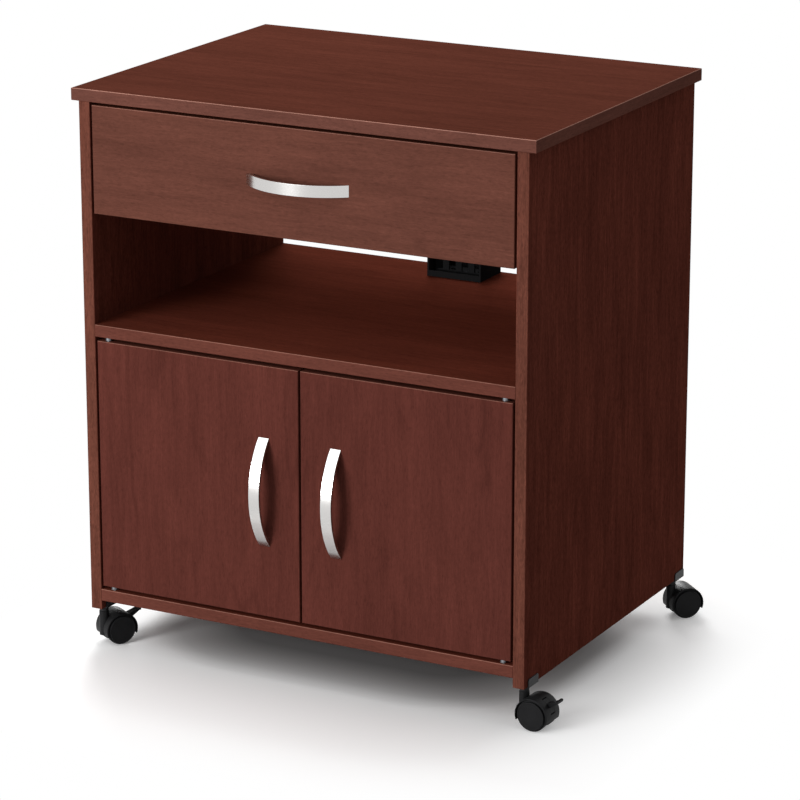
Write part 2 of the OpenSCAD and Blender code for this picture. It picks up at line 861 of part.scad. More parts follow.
module bracket() {
  half = board_t / 2;
  y0 = -bracket_front;
  y1 = bracket_len - bracket_front;
  z0 = caster_h - bracket_t;
  z1 = caster_h + tab_h;
  chamfer = 2;
  difference() {
    translate([-half - bracket_t, 0, 0]) rotate([90, 0, 90]) linear_extrude(board_t + 2 * bracket_t)
      polygon([[y0, z0], [y1, z0], [y1, z1 - chamfer], [y1 - chamfer, z1],
               [y0 + chamfer, z1], [y0, z1 - chamfer]]);
    block([-half, y0 - past, caster_h], [half, y1 + past, z1 + past]);
  }
  rod_z(collar_d, boss_top + 0.3, z0 + bracket_t / 2, 0, 0);
  rod_z(stem_d, stem_end, z0 + bracket_t / 2, 0, 0);
}

// Point in the thickness of the pedal's plate, at an angle from +X
function on_rim(a) = (hood_r - pedal_t * 0.7) * [cos(a), sin(a)];

// Extrudes a profile in X and Z by w along Y, centred
module across(w) {
  rotate([90, 0, 0]) linear_extrude(w, center = true) children();
}

// Ring of the hood's shell, its rims chamfered
module hood_shell() {
  h = hood_w / 2;
  rotate([90, 0, 0]) rotate_extrude($fn = 96)
    polygon([[hood_r - hood_t, -h], [hood_r - rim_c, -h], [hood_r, rim_c - h],
             [hood_r, h - rim_c], [hood_r - rim_c, h], [hood_r - hood_t, h]]);
}

// Room for the pedal: a window in the shell, and behind it space to swing in
module pedal_room() {
  across(pedal_slot) difference() {
    union() {
      sector(hood_r + past, pedal_from - pedal_gap, pedal_to + pedal_gap);
      sector(hood_r - hood_t, pedal_from - pedal_swing, pedal_to + pedal_gap);
    }
    circle(d = hub_d + 2);
  }
  rod_y(pedal_pin_d + 2 * run, -body_w, body_w, pedal_pivot.x, pedal_pivot.y);
}

// Hood: shell over the wheels, middle wall, and the boss that turns on the stem
module caster_hood(braked) {
  wide = 2 * hood_r;
  color(plastic) translate([trail, 0, hub_z]) difference() {
    union() {
      difference() {
        union() {
          hood_shell();
          across(body_w) circle(r = hood_r, $fn = 96);
        }
        block([-wide, -wide, -wide], [wide, wide, -hood_drop]);
      }
      rod_y(hub_d, -body_w / 2, body_w / 2, 0, 0);
      rod_z(body_w, -hood_drop, boss_top - hub_z, -trail, 0);
    }
    rod_z(stem_d + 2 * run, stem_end - hub_z - 5 * seat, boss_top, -trail, 0);
    rod_y(axle_d + run, -caster_w, caster_w, 0, 0);
    if (braked) pedal_room();
  }
}

module caster_axle() {
  half = wheel_gap / 2 + wheel_bore - 0.2;
  color(zinc) rod_y(axle_d, -half, half, trail, hub_z);
}

// Wheel: hollow towards the middle, closed outside by a disc with a raised ring
module wheel_body() {
  r = wheel_d / 2;
  b = axle_d / 2 + run;
  rim = r - 3.7;
  core = axle_d / 2 + 4.5;
  hollow = wheel_w - 3.5;
  rotate_extrude($fn = 96)
    polygon([[0, wheel_bore], [b, wheel_bore], [b, 0], [core, 0], [core, hollow], [rim, hollow], [rim, 0],
             [r - 1, 0], [r, 1], [r, wheel_w - 2], [r - 0.4, wheel_w - 0.9], [r - 1.3, wheel_w],
             [r - 3, wheel_w], [r - 3.6, wheel_w - 0.7], [r - 7, wheel_w - 0.7], [0, wheel_w - 0.4]]);
}

// Wheel on one side of the hood, side being 1 or -1
module wheel(side) {
  color(plastic) translate([trail, side * wheel_gap / 2, hub_z]) rotate([-90 * side, 0, 0]) wheel_body();
}

// Brake pedal: a plate flush with the hood, a lever with a cross bar, and a boss on two short pins
module brake_pedal() {
  p = pedal_pivot;
  tip = pedal_reach;
  bar_t = bar_z[1] - bar_z[0];
  pin = body_w / 2 - 2 * seat;
  color(plastic) translate([trail, 0, hub_z]) {
    across(pedal_w) {
      difference() {
        sector(hood_r, pedal_from, pedal_to);
        circle(r = hood_r - pedal_t, $fn = 96);
      }
      translate(p) circle(r = pedal_boss_r);
      polygon([p, on_rim(pedal_to - 6), on_rim(pedal_from + 22)]);
      polygon([on_rim(28), [tip, bar_z[0] + 0.2], [tip, bar_z[1] - 0.6], on_rim(47)]);
    }
    block([tip - bar_t, -bar_w / 2, bar_z[0]], [tip, bar_w / 2, bar_z[1]]);
    rod_y(pedal_pin_d, -pin, pin, p.x, p.y);
  }
}

module left() {
  mirror([1, 0, 0]) children();
}

top_panel();
left() side_panel();  // side_panel_left
side_panel();  // side_panel_right
bottom_panel();
fixed_shelf();
back_rail();
back_panel();
adjustable_shelf();
shelf_pins();
cam_locks();
cam_bolts();
wood_dowels();
cable_comb();
comb_screws();
magnet_catches();
pivot_bushings();
left() door();  // door_left
left() door_pivots();  // door_pivots_left
left() on_door() pull();  // door_pull_left
left() on_door() pull_screws();  // door_pull_screws_left
left() strike_plate();  // strike_plate_left
door();  // door_right
door_pivots();  // door_pivots_right
on_door() pull();  // door_pull_right
on_door() pull_screws();  // door_pull_screws_right
strike_plate();  // strike_plate_right
drawer_front();
left() drawer_side();  // drawer_side_left
drawer_side();  // drawer_side_right
drawer_back();
drawer_bottom();
on_drawer() pull();  // drawer_pull
on_drawer() pull_screws();  // drawer_pull_screws
left() drawer_runner();  // drawer_runner_left
drawer_runner();  // drawer_runner_right
left() slide_rail();  // slide_rail_left
slide_rail();  // slide_rail_right
left() rail_roller();  // rail_roller_left
rail_roller();  // rail_roller_right
left() runner_roller();  // runner_roller_left
runner_roller();  // runner_roller_right
caster_brackets();
at_caster(front_left) caster_hood(true);  // caster_hood_front_left
at_caster(front_left) caster_axle();  // caster_axle_front_left
at_caster(front_left) wheel(-1);  // wheel_front_left_a
at_caster(front_left) wheel(1);  // wheel_front_left_b
at_caster(front_left) brake_pedal();  // brake_pedal_front_left
at_caster(front_right) caster_hood(true);  // caster_hood_front_right
at_caster(front_right) caster_axle();  // caster_axle_front_right
at_caster(front_right) wheel(-1);  // wheel_front_right_a
at_caster(front_right) wheel(1);  // wheel_front_right_b
at_caster(front_right) brake_pedal();  // brake_pedal_front_right
at_caster(rear_left) caster_hood(false);  // caster_hood_rear_left
at_caster(rear_left) caster_axle();  // caster_axle_rear_left
at_caster(rear_left) wheel(-1);  // wheel_rear_left_a
at_caster(rear_left) wheel(1);  // wheel_rear_left_b
at_caster(rear_right) caster_hood(false);  // caster_hood_rear_right
at_caster(rear_right) caster_axle();  // caster_axle_rear_right
at_caster(rear_right) wheel(-1);  // wheel_rear_right_a
at_caster(rear_right) wheel(1);  // wheel_rear_right_b
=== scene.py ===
"""Printer cart: finishes, detail pieces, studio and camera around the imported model.

Lengths are in metres in the part's own frame: +Z is up, the front faces -Y, and the origin is on
the floor under the middle of the top.
"""

import logging
import math
from dataclasses import dataclass, field
from enum import Enum
from typing import Callable, Sequence

import bmesh
import bpy
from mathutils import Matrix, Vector


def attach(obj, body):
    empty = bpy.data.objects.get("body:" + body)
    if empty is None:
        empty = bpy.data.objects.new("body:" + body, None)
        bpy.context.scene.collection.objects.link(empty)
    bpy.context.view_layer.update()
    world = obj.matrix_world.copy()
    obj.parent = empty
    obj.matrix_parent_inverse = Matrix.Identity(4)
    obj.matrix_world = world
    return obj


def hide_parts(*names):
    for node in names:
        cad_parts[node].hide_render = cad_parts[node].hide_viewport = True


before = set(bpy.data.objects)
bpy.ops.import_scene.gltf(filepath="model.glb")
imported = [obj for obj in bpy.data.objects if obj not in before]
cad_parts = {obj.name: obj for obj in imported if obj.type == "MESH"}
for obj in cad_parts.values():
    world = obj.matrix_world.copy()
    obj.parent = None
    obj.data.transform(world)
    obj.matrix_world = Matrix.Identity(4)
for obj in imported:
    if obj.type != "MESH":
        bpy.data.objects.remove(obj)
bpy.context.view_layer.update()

LOG = logging.getLogger("cart")
MM = 0.001
# How near a corner is to a plane or axis that it lies on
NEAR = 0.01 * MM
# Width of a moulded or folded edge's bevel, and its steps
EASED = 0.0004
EASED_STEPS = 2
SMOOTH = math.radians(20)
SIDES = ("left", "right")
WHITE = (1.0, 1.0, 1.0, 1.0)
Point = tuple[float, float, float]
Pair = tuple[float, float]
Noise = tuple[float, float, float, float]
Node = bpy.types.Node
Socket = bpy.types.NodeSocket
Test = Callable[[Vector, Vector], bool]
Operator = Callable[..., set[str]]


class Axis(Enum):
    """A direction of the frame."""

    X = (1.0, 0.0, 0.0)
    Y = (0.0, 1.0, 0.0)
    Z = (0.0, 0.0, 1.0)

    @property
    def index(self) -> int:
        """Place of the axis in a vector."""
        return self.value.index(1.0)


# ---------------------------------------------------------------- finishes


def linear(colour: str) -> tuple[float, float, float, float]:
    """Turns an sRGB hex colour into linear light.

    Args:
        colour: Six hex digits, with or without a leading hash.

    Returns:
        Red, green, blue and an alpha of 1.
    """
    parts = [int(colour.lstrip("#")[i : i + 2], 16) / 255 for i in (0, 2, 4)]
    return (*(c / 12.92 if c <= 0.04045 else ((c + 0.055) / 1.055) ** 2.4 for c in parts), 1.0)


def stretched(axis: Axis, along: float, across: float) -> list[float]:
    """Sizes along X, Y and Z of marks that run along one axis."""
    return [along if i == axis.index else across for i in range(3)]


@dataclass(frozen=True)
class Graph:
    """A material's or world's node tree, with the steps that are repeated."""

    tree: bpy.types.NodeTree

    def add(self, kind: str, inputs: dict | None = None, **settings: object) -> Node:
        """Adds a shader node with its settings and links.

        Args:
            kind: Node type without its ShaderNode prefix.
            inputs: Socket name or number to a value, or to the output socket that feeds it.
            **settings: Properties of the node itself.

        Returns:
            The new node.
        """
        node = self.tree.nodes.new("ShaderNode" + kind)
        for name, value in settings.items():
            setattr(node, name, value)
        for key, value in (inputs or {}).items():
            if isinstance(value, Socket):
                self.tree.links.new(value, node.inputs[key])
            else:
                node.inputs[key].default_value = value
        return node

    def maths(self, operation: str, *values: object) -> Socket:
        """One step of arithmetic."""
        return self.add("Math", dict(enumerate(values)), operation=operation).outputs[0]

    def vector(self, operation: str, inputs: dict) -> Node:
        """One step of vector arithmetic."""
        return self.add("VectorMath", inputs, operation=operation)

    def part(self, vector: Socket, axis: Axis) -> Socket:
        """A vector's part along an axis."""
        return self.add("SeparateXYZ", {0: vector}).outputs[axis.index]

    def mix(self, factor: Socket, first: object, second: object) -> Socket:
        """The first colour at 0 and the second at 1."""
        return self.add("Mix", {0: factor, 6: first, 7: second}, data_type="RGBA").outputs[2]

    def shade(self, colour: Socket, factor: object) -> Socket:
        """A colour darkened or lightened by a factor."""
        return self.vector("SCALE", {0: colour, "Scale": factor}).outputs[0]

    def ramp(self, factor: Socket, *stops: tuple[float, str]) -> Socket:
        """Turns a number into a colour.

        Args:
            factor: The number, from 0 to 1.
            *stops: Positions and hex colours, in order.

        Returns:
            The colour between the two nearest stops.
        """
        node = self.add("ValToRGB", {0: factor})
        for i, (place, colour) in enumerate(stops):
            stop = node.color_ramp.elements[i] if i < 2 else node.color_ramp.elements.new(place)
            stop.position, stop.color = place, linear(colour)
        return node.outputs[0]

    def scaled(self, place: Socket, sizes_mm: Sequence[float]) -> Socket:
        """Maps a vector so that one unit of a pattern is this many millimetres along X, Y and Z."""
        return self.add("Mapping", {"Vector": place, "Scale": [1 / (mm * MM) for mm in sizes_mm]}).outputs[0]

    def noise(self, place: Socket, sizes_mm: Sequence[float], octaves: float, roughness: float = 0.6,
              out: str = "Fac") -> Socket:
        """Noise whose lumps have these sizes along X, Y and Z, as a number or as a colour."""
        return self.add("TexNoise", {"Vector": self.scaled(place, sizes_mm), "Scale": 1.0, "Detail": octaves,
                                     "Roughness": roughness}).outputs[out]

    def between(self, value: Socket, start: float, end: float, kind: str = "LINEAR") -> Socket:
        """0 up to the start and 1 from the end on."""
        return self.add("MapRange", {0: value, 1: start, 2: end}, interpolation_type=kind).outputs[0]

    def either(self, factor: Socket, first: Node, second: Node) -> Node:
        """The first shader at 0 and the second at 1."""
        return self.add("MixShader", {0: factor, 1: first.outputs[0], 2: second.outputs[0]})

    def seen(self) -> Socket:
        """Tells the rays that see the plain background.

        Returns:
            1 for rays from the camera or by way of gloss or glass, and 0 for light.
        """
        path = self.add("LightPath").outputs
        seen = self.maths("MAXIMUM", path["Is Camera Ray"], path["Is Glossy Ray"])
        return self.maths("MAXIMUM", seen, path["Is Transmission Ray"])

    def feed(self, socket: str, value: Socket) -> None:
        """Feeds one socket of the material's shader."""
        self.tree.links.new(value, self.tree.nodes["Principled BSDF"].inputs[socket])

    def roughen(self, pattern: Socket, swing: float, mean: float) -> None:
        """Lets the roughness swing about its mean with a pattern."""
        self.feed("Roughness", self.maths("MULTIPLY_ADD", pattern, swing, mean - swing / 2))

    def press(self, height: Socket, strength: float, depth_mm: float) -> None:
        """Presses a pattern into the surface."""
        bump = self.add("Bump", {"Height": height, "Strength": strength, "Distance": depth_mm * MM})
        self.feed("Normal", bump.outputs[0])


@dataclass(frozen=True)
class Finish:
    """What every finish has: its name, its slot and its shader's plain values."""

    name: str
    colour: str
    slot: str
    roughness: float
    metallic: float = 0.0
    ior: float = 1.5
    specular: float = 0.5
    # How far its pattern swings the roughness, and the relief's strength and depth in mm
    swing: float = 0.14
    relief: Pair = (0.4, 0.03)

    def material(self) -> bpy.types.Material:
        """Builds the material once and hands out the same one later.

        Returns:
            The material, with the surface's pattern.
        """
        found = bpy.data.materials.get(self.name)
        if found:
            return found
        made = bpy.data.materials.new(self.name)
        made.use_nodes = True
        shader = made.node_tree.nodes["Principled BSDF"]
        plain = {"Base Color": linear(self.colour), "Roughness": self.roughness, "Metallic": self.metallic,
                 "Specular IOR Level": self.specular}
        if not self.metallic:
            plain["IOR"] = self.ior
        for key, value in plain.items():
            shader.inputs[key].default_value = value
        self.pattern(Graph(made.node_tree))
        return made

    def pattern(self, graph: Graph) -> None:
        """Adds the surface's own pattern to the material's node tree."""


@dataclass(frozen=True)
class CherryMelamine(Finish):
    """Melamine-faced particle board with a cherry print, pressed with a fine satin pore.

    The grain runs along one axis. On the faces that the grain would end on, the edge tape's grain
    runs along the tape instead.
    """

    slot: str = "cherry_laminate"
    roughness: float = 0.42
    specular: float = 0.0
    # Axes of the grain, of the tape's grain on the grain's ends, and across the board
    grain: Axis = Axis.X
    tape: Axis = Axis.Y
    face: Axis = Axis.Z
    # Colours of the edge tape, and of the painted highlight on its eased edges where they face up
    tape_colour: str = "#613629"
    wear_and_highlight: str = "#8a5f52"
    # Strength of the flat-sawn figure, and of the whole print
    figure: float = 1.0
    contrast: float = 1.0
    sway_mm: float = 5.0
    contours: float = 13.0
    contour_depth: float = 0.1
    pore_from: float = 0.67
    pore_depth: float = 0.07
    stops_per_tone: float = 2.6
    # Length and width in mm, octaves and seed of each noise that shapes the print
    sway: Noise = (90.0, 26.0, 2.0, 0.9)
    hills: Noise = (420.0, 74.0, 1.2, 1.7)
    shown: Noise = (160.0, 60.0, 1.0, 2.9)
    pores: Noise = (8.0, 1.2, 0.0, 5.1)
    # The same of its layers, which are clouds, bands, streaks, dashes and mottle, and their weights.
    # Streaks and dashes are about twice the real ones, as fine as the render shows
    layers: tuple[Noise, ...] = ((190.0, 34.0, 1.0, 0.3), (130.0, 8.0, 2.0, 1.6), (60.0, 2.0, 2.0, 2.9),
                                 (6.0, 1.8, 2.0, 4.2), (9.0, 6.0, 2.0, 5.5))
    weights: tuple[float, ...] = (0.20, 0.20, 0.20, 0.24, 0.10)
    streaks: int = 2
    # The way that a seed moves its noise
    seed_way: Point = (1.0, 0.37, 0.71)
    # Gain and offset of where the figure shows, how sharp its lines are, and which upward normals
    # mark the eased edges that get the painted highlight
    shown_by: Pair = (3.4, -1.5)
    crest: float = 3.0
    highlit_edges: Pair = (0.25, 0.97)
    # A face whose normal lies this much along the grain is an end
    end_from: float = 0.8
    pore_relief: float = -0.6
    relief: Pair = (0.35, 0.06)

    def pattern(self, graph: Graph) -> None:
        """Lays the print's figure, streaks and flecks, the pressed pores, the taped edges, and a painted
        highlight on eased edges that face up.

        Args:
            graph: The material's node tree.
        """
        place, maths = graph.add("TexCoord"), graph.maths
        along = self._along(graph, place)

        def noise(long_mm: float, cross_mm: float, octaves: float, seed: float, out: str = "Fac") -> Socket:
            """Noise stretched along the grain.

            Args:
                long_mm: Length of its marks.
                cross_mm: Their width.
                octaves: How many finer layers it has.
                seed: Moves it to other marks.
                out: Fac for a number, Color for a vector.

            Returns:
                The noise.
            """
            shift = [seed * step for step in self.seed_way]
            moved = graph.add("Mapping", {"Vector": along, "Location": shift})
            sizes = stretched(self.grain, long_mm, cross_mm)
            return graph.noise(moved.outputs[0], sizes, octaves, out=out)

        # The print's lines wander a few millimetres across the grain
        reach = stretched(self.grain, 0.0, 2 * self.sway_mm * MM)
        sway = noise(*self.sway, out="Color")
        along = graph.vector("MULTIPLY_ADD", {0: sway, 1: reach, 2: along}).outputs[0]

        tone = 0.0
        layers = [noise(*marks) for marks in self.layers]
        for layer, weight in zip(layers, self.weights):
            tone = maths("MULTIPLY_ADD", maths("SUBTRACT", layer, 0.5), weight, tone)
        # The flat-sawn figure, contour lines of long hills 11 mm apart, which come and go
        hills = noise(*self.hills)
        lines = maths("SINE", maths("MULTIPLY", hills, 2 * math.pi * self.contours))
        lines = maths("POWER", maths("MULTIPLY_ADD", lines, 0.5, 0.5), self.crest)
        shown = maths("MULTIPLY_ADD", noise(*self.shown), *self.shown_by)
        lines = maths("MULTIPLY", lines, maths("MAXIMUM", maths("MINIMUM", shown, 1.0), 0.0))
        tone = maths("MULTIPLY_ADD", lines, -self.contour_depth * self.figure, tone)
        # Short dark pores
        pores = maths("GREATER_THAN", noise(*self.pores), self.pore_from)
        tone = maths("MULTIPLY_ADD", pores, -self.pore_depth, tone)

        # The tone darkens and lightens the board's colour, or on its edges the tape's
        shade = maths("POWER", 2.0, maths("MULTIPLY", tone, self.stops_per_tone * self.contrast))
        on_tape = maths("LESS_THAN", self._facing(graph, place, self.face), 0.5)
        board = graph.mix(on_tape, linear(self.colour), linear(self.tape_colour))
        # Eased edges that face up get a pale painted highlight, standing in for the gloss that catches the
        # light from above
        up = graph.part(place.outputs["Normal"], Axis.Z)
        low, high = self.highlit_edges
        highlit_edges = maths("MULTIPLY", maths("GREATER_THAN", up, low), maths("LESS_THAN", up, high))
        graph.feed("Base Color", graph.shade(graph.mix(highlit_edges, board, linear(self.wear_and_highlight)), shade))
        streaks = layers[self.streaks]
        graph.roughen(streaks, self.swing, self.roughness)
        graph.press(maths("MULTIPLY_ADD", pores, self.pore_relief, streaks), *self.relief)

    @staticmethod
    def _facing(graph: Graph, place: Node, axis: Axis) -> Socket:
        """1 where the surface faces along an axis, either way, and 0 across it."""
        along = graph.vector("DOT_PRODUCT", {0: place.outputs["Normal"], 1: axis.value})
        return graph.maths("ABSOLUTE", along.outputs["Value"])

    def _along(self, graph: Graph, place: Node) -> Socket:
        """Turns the grain on the taped ends.

        Args:
            graph: The material's node tree.
            place: Its texture coordinates.

        Returns:
            Object coordinates, with grain and tape axes exchanged there.
        """
        split = graph.add("SeparateXYZ", {0: place.outputs["Object"]})
        order = [0, 1, 2]
        g, t = self.grain.index, self.tape.index
        order[g], order[t] = t, g
        turned = graph.add("CombineXYZ", {i: split.outputs[k] for i, k in enumerate(order)})
        on_end = graph.maths("GREATER_THAN", self._facing(graph, place, self.grain), self.end_from)
        return graph.add("Mix", {0: on_end, 4: place.outputs["Object"], 5: turned.outputs[0]},
                         data_type="VECTOR").outputs[1]


@dataclass(frozen=True)
class Hardboard(Finish):
    """Wet-process hardboard: a smooth face, printed or plain, and a back with the screen's weave."""

    back: str = "#4a2c1c"
    fibre_mm: float = 3.5
    screen_mm: float = 1.6
    # Gain and offset of the fibres' shade
    speckle: Pair = (0.7, 0.65)
    relief: Pair = (0.4, 0.2)

    def pattern(self, graph: Graph) -> None:
        """Speckles the fibres, and shows the screen side where the surface faces back.

        Args:
            graph: The material's node tree.
        """
        place = graph.add("TexCoord")
        behind = graph.maths("GREATER_THAN", graph.part(place.outputs["Normal"], Axis.Y), 0.5)
        fibres = graph.noise(place.outputs["Object"], (self.fibre_mm,) * 3, octaves=6.0, roughness=0.7)
        squares = graph.scaled(place.outputs["Object"], (self.screen_mm,) * 3)
        screen = graph.add("TexVoronoi", {"Vector": squares, "Scale": 1.0, "Randomness": 0.15},
                           distance="CHEBYCHEV")
        colour = graph.mix(behind, linear(self.colour), linear(self.back))
        graph.feed("Base Color", graph.shade(colour, graph.maths("MULTIPLY_ADD", fibres, *self.speckle)))
        graph.press(graph.maths("MULTIPLY", screen.outputs[0], behind), *self.relief)


@dataclass(frozen=True)
class SolidWood(Finish):
    """Pale wood, planed or turned, with straight grain along one axis."""

    grain: Axis = Axis.X
    dark: str = "#b08a5c"
    line_mm: Pair = (70.0, 2.5)
    # Where on the pattern its first and second colour stand
    spread: Pair = (0.3, 0.65)
    relief: Pair = (0.25, 0.08)

    def pattern(self, graph: Graph) -> None:
        """Grain lines and fine pores.

        Args:
            graph: The material's node tree.
        """
        place = graph.add("TexCoord").outputs["Object"]
        lines = graph.noise(place, stretched(self.grain, *self.line_mm), octaves=4.0)
        dark, pale = self.spread
        graph.feed("Base Color", graph.ramp(lines, (dark, self.dark), (pale, self.colour)))
        graph.press(lines, *self.relief)


@dataclass(frozen=True)
class BrushedMetal(Finish):
    """Metal with a fine brush mark along one axis, plated and lacquered to a satin shine."""

    brush: Axis = Axis.X
    # Length and width, as coarse as they need to be to show
    mark_mm: Pair = (40.0, 0.5)
    relief: Pair = (0.3, 0.03)

    def pattern(self, graph: Graph) -> None:
        """Brush marks in shine and relief.

        Args:
            graph: The material's node tree.
        """
        place = graph.add("TexCoord").outputs["Object"]
        marks = graph.noise(place, stretched(self.brush, *self.mark_mm), octaves=3.0)
        graph.roughen(marks, self.swing, self.roughness)
        graph.press(marks, *self.relief)


@dataclass(frozen=True)
class ZincPlate(Finish):
    """Steel with bright zinc plate: a mottled crystal sheen and slight cloudiness."""

    dark: str = "#74777b"
    patch_mm: float = 2.0
    swing: float = 0.3
    spread: Pair = (0.3, 0.7)

    def pattern(self, graph: Graph) -> None:
        """Clouds the shine in small patches.

        Args:
            graph: The material's node tree.
        """
        place = graph.add("TexCoord").outputs["Object"]
        cloud = graph.noise(place, (self.patch_mm,) * 3, octaves=3.0)
        dark, pale = self.spread
        graph.roughen(cloud, self.swing, self.roughness)
        graph.feed("Base Color", graph.ramp(cloud, (dark, self.dark), (pale, self.colour)))


@dataclass(frozen=True)
class Moulded(Finish):
    """Injection-moulded plastic or baked enamel with a fine spark-eroded or orange-peel texture."""

    grit_mm: float = 0.7
    dust_mm: float = 14.0
    swing: float = 0.16
    spread: Pair = (0.4, 0.8)
    wear: str = ""

    def pattern(self, graph: Graph) -> None:
        """Presses the grit into the surface, and dusts it faintly in broad patches.

        Args:
            graph: The material's node tree.
        """
        place = graph.add("TexCoord").outputs["Object"]
        grit = graph.noise(place, (self.grit_mm,) * 3, octaves=2.0)
        dust = graph.noise(place, (self.dust_mm,) * 3, octaves=4.0, roughness=0.65)
        graph.roughen(dust, self.swing, self.roughness)
        if self.wear:
            clean, wear_and_highlight = self.spread
            graph.feed("Base Color", graph.ramp(dust, (clean, self.colour), (wear_and_highlight, self.wear)))
        graph.press(grit, *self.relief)


class Finishes:
    """The cart's finishes, each named for its real material."""

    # Cherry print: its grain runs left to right on the level boards. The top's edge has the brightest painted
    # highlight
    TOP = CherryMelamine("cherry_melamine_top", "#603429", tape_colour="#653f36", wear_and_highlight="#a87a6c", figure=0.8)
    LEVEL = CherryMelamine("cherry_melamine_shelves", "#622f23", tape_colour="#62382f", figure=0.6)
    # On the drawer front and the rail the end tape runs up and down. Their colour is paler than the print's:
    # painted sheen and painted light, as the drawer front looks brighter
    FRONT = CherryMelamine("cherry_melamine_drawer_painted_sheen", "#613b31", tape=Axis.Z, face=Axis.Y, figure=0.7)
    # On doors and sides the grain is upright. The doors' colour is darker than the print's: painted shade, as
    # the light is weaker low on the front
    DOOR = CherryMelamine("cherry_melamine_doors_painted_shade", "#592f28", grain=Axis.Z, tape=Axis.X, face=Axis.Y,
                          tape_colour="#5e342a", wear_and_highlight="#80564a", figure=1.2)
    SIDE = CherryMelamine("cherry_melamine_sides", "#5f3026", grain=Axis.Z, tape=Axis.Y, face=Axis.X,
                          tape_colour="#653b30", figure=0.6, contrast=1.8)
    # Thin hardboard, cherry paint inside and the bare screen side behind
    BACK = Hardboard("hardboard_painted", "#4a231a", "hardboard_brown", 0.5, specular=0.1, back="#5c3d28")
    DRAWER_FLOOR = Hardboard("hardboard_pale", "#b08c62", "hardboard_light", 0.6, specular=0.2,
                             back="#a07c54")
    # Drawer box of pale wrapped board, with a straight printed grain
    DRAWER_BOARD = SolidWood("maple_print_board", "#c4a176", "drawer_board", 0.5, grain=Axis.Y,
                             dark="#ab8558")
    # Beech dowels, turned and grooved
    DOWEL = SolidWood("beech_dowel", "#cfae7f", "dowel_wood", 0.6, grain=Axis.Z, dark="#b08a5c")
    # Pulls of brushed satin nickel: pale warm grey, near white where it meets the studio's light
    NICKEL_LEVEL = BrushedMetal("satin_nickel_level", "#cfcdcb", "nickel", 0.2, metallic=1.0, brush=Axis.X)
    NICKEL_UPRIGHT = BrushedMetal("satin_nickel_upright", "#cfcdcb", "nickel", 0.2, metallic=1.0,
                                  brush=Axis.Z)
    # Screws, cams and pins: bright zinc plate; the comb's screws are enamelled black
    ZINC = ZincPlate("zinc_plated_steel", "#8f9296", "zinc", 0.45, metallic=1.0)
    BLACK_SCREW = Moulded("black_enamelled_screws", "#1c1c1d", "zinc", 0.5, specular=0.0,
                          relief=(0.4, 0.01))
    # Casters: black nylon, a satin grey-black with soft highlights
    NYLON = Moulded("nylon_black", "#19191a", "black_plastic", 0.42, ior=1.53, specular=0.08, wear="#202021")
    # Cable comb: dull black ABS
    ABS = Moulded("abs_black", "#202021", "black_plastic", 0.5, ior=1.53, specular=0.0,
                  relief=(0.4, 0.015))
    # Rollers and bushings: white acetal, slightly waxy
    ACETAL = Moulded("acetal_white", "#e4e3de", "white_plastic", 0.35, ior=1.48, relief=(0.4, 0.01))
    # Magnetic catches: brown ABS housings
    CATCH = Moulded("abs_brown", "#3f2318", "brown_plastic", 0.45, ior=1.53, specular=0.05)
    # Slides: white epoxy powder, a little orange peel
    EPOXY = Moulded("epoxy_white", "#e2e1dc", "slide_paint", 0.4, grit_mm=1.6, relief=(0.4, 0.04))
    # Caster brackets: dark phosphated steel under thin grey paint
    PHOSPHATE = Moulded("phosphated_steel", "#1c1c1d", "grey_metal", 0.45, specular=0.18, wear="#272728")


# ---------------------------------------------------------------- modelling


def only(obj: bpy.types.Object) -> None:
    """Makes an object the only one selected and active.

    Args:
        obj: The object.
    """
    bpy.ops.object.select_all(action="DESELECT")
    obj.select_set(True)
    bpy.context.view_layer.objects.active = obj


def arc(centre: Pair, r: float, start: float, end: float, steps: int) -> list[Pair]:
    """Points of an arc round a centre, between two angles in degrees."""
    angles = [math.radians(start + (end - start) * i / steps) for i in range(steps + 1)]
    return [(centre[0] + r * math.cos(a), centre[1] + r * math.sin(a)) for a in angles]


def anywhere(co: Vector, no: Vector) -> bool:
    """Chooses every face."""
    return True


class Kind(Enum):
    """What is chosen in edit mode."""

    FACE = "FACE"
    EDGE = "EDGE"


class Join(Enum):
    """How a piece is combined with another: united with it, or cut by it."""

    UNION = "UNION"
    DIFFERENCE = "DIFFERENCE"


class Keep(Enum):
    """Which side of a cut stays: the one that the plane's normal points to, the other, or both."""

    FRONT = "front"
    BACK = "back"
    BOTH = "both"


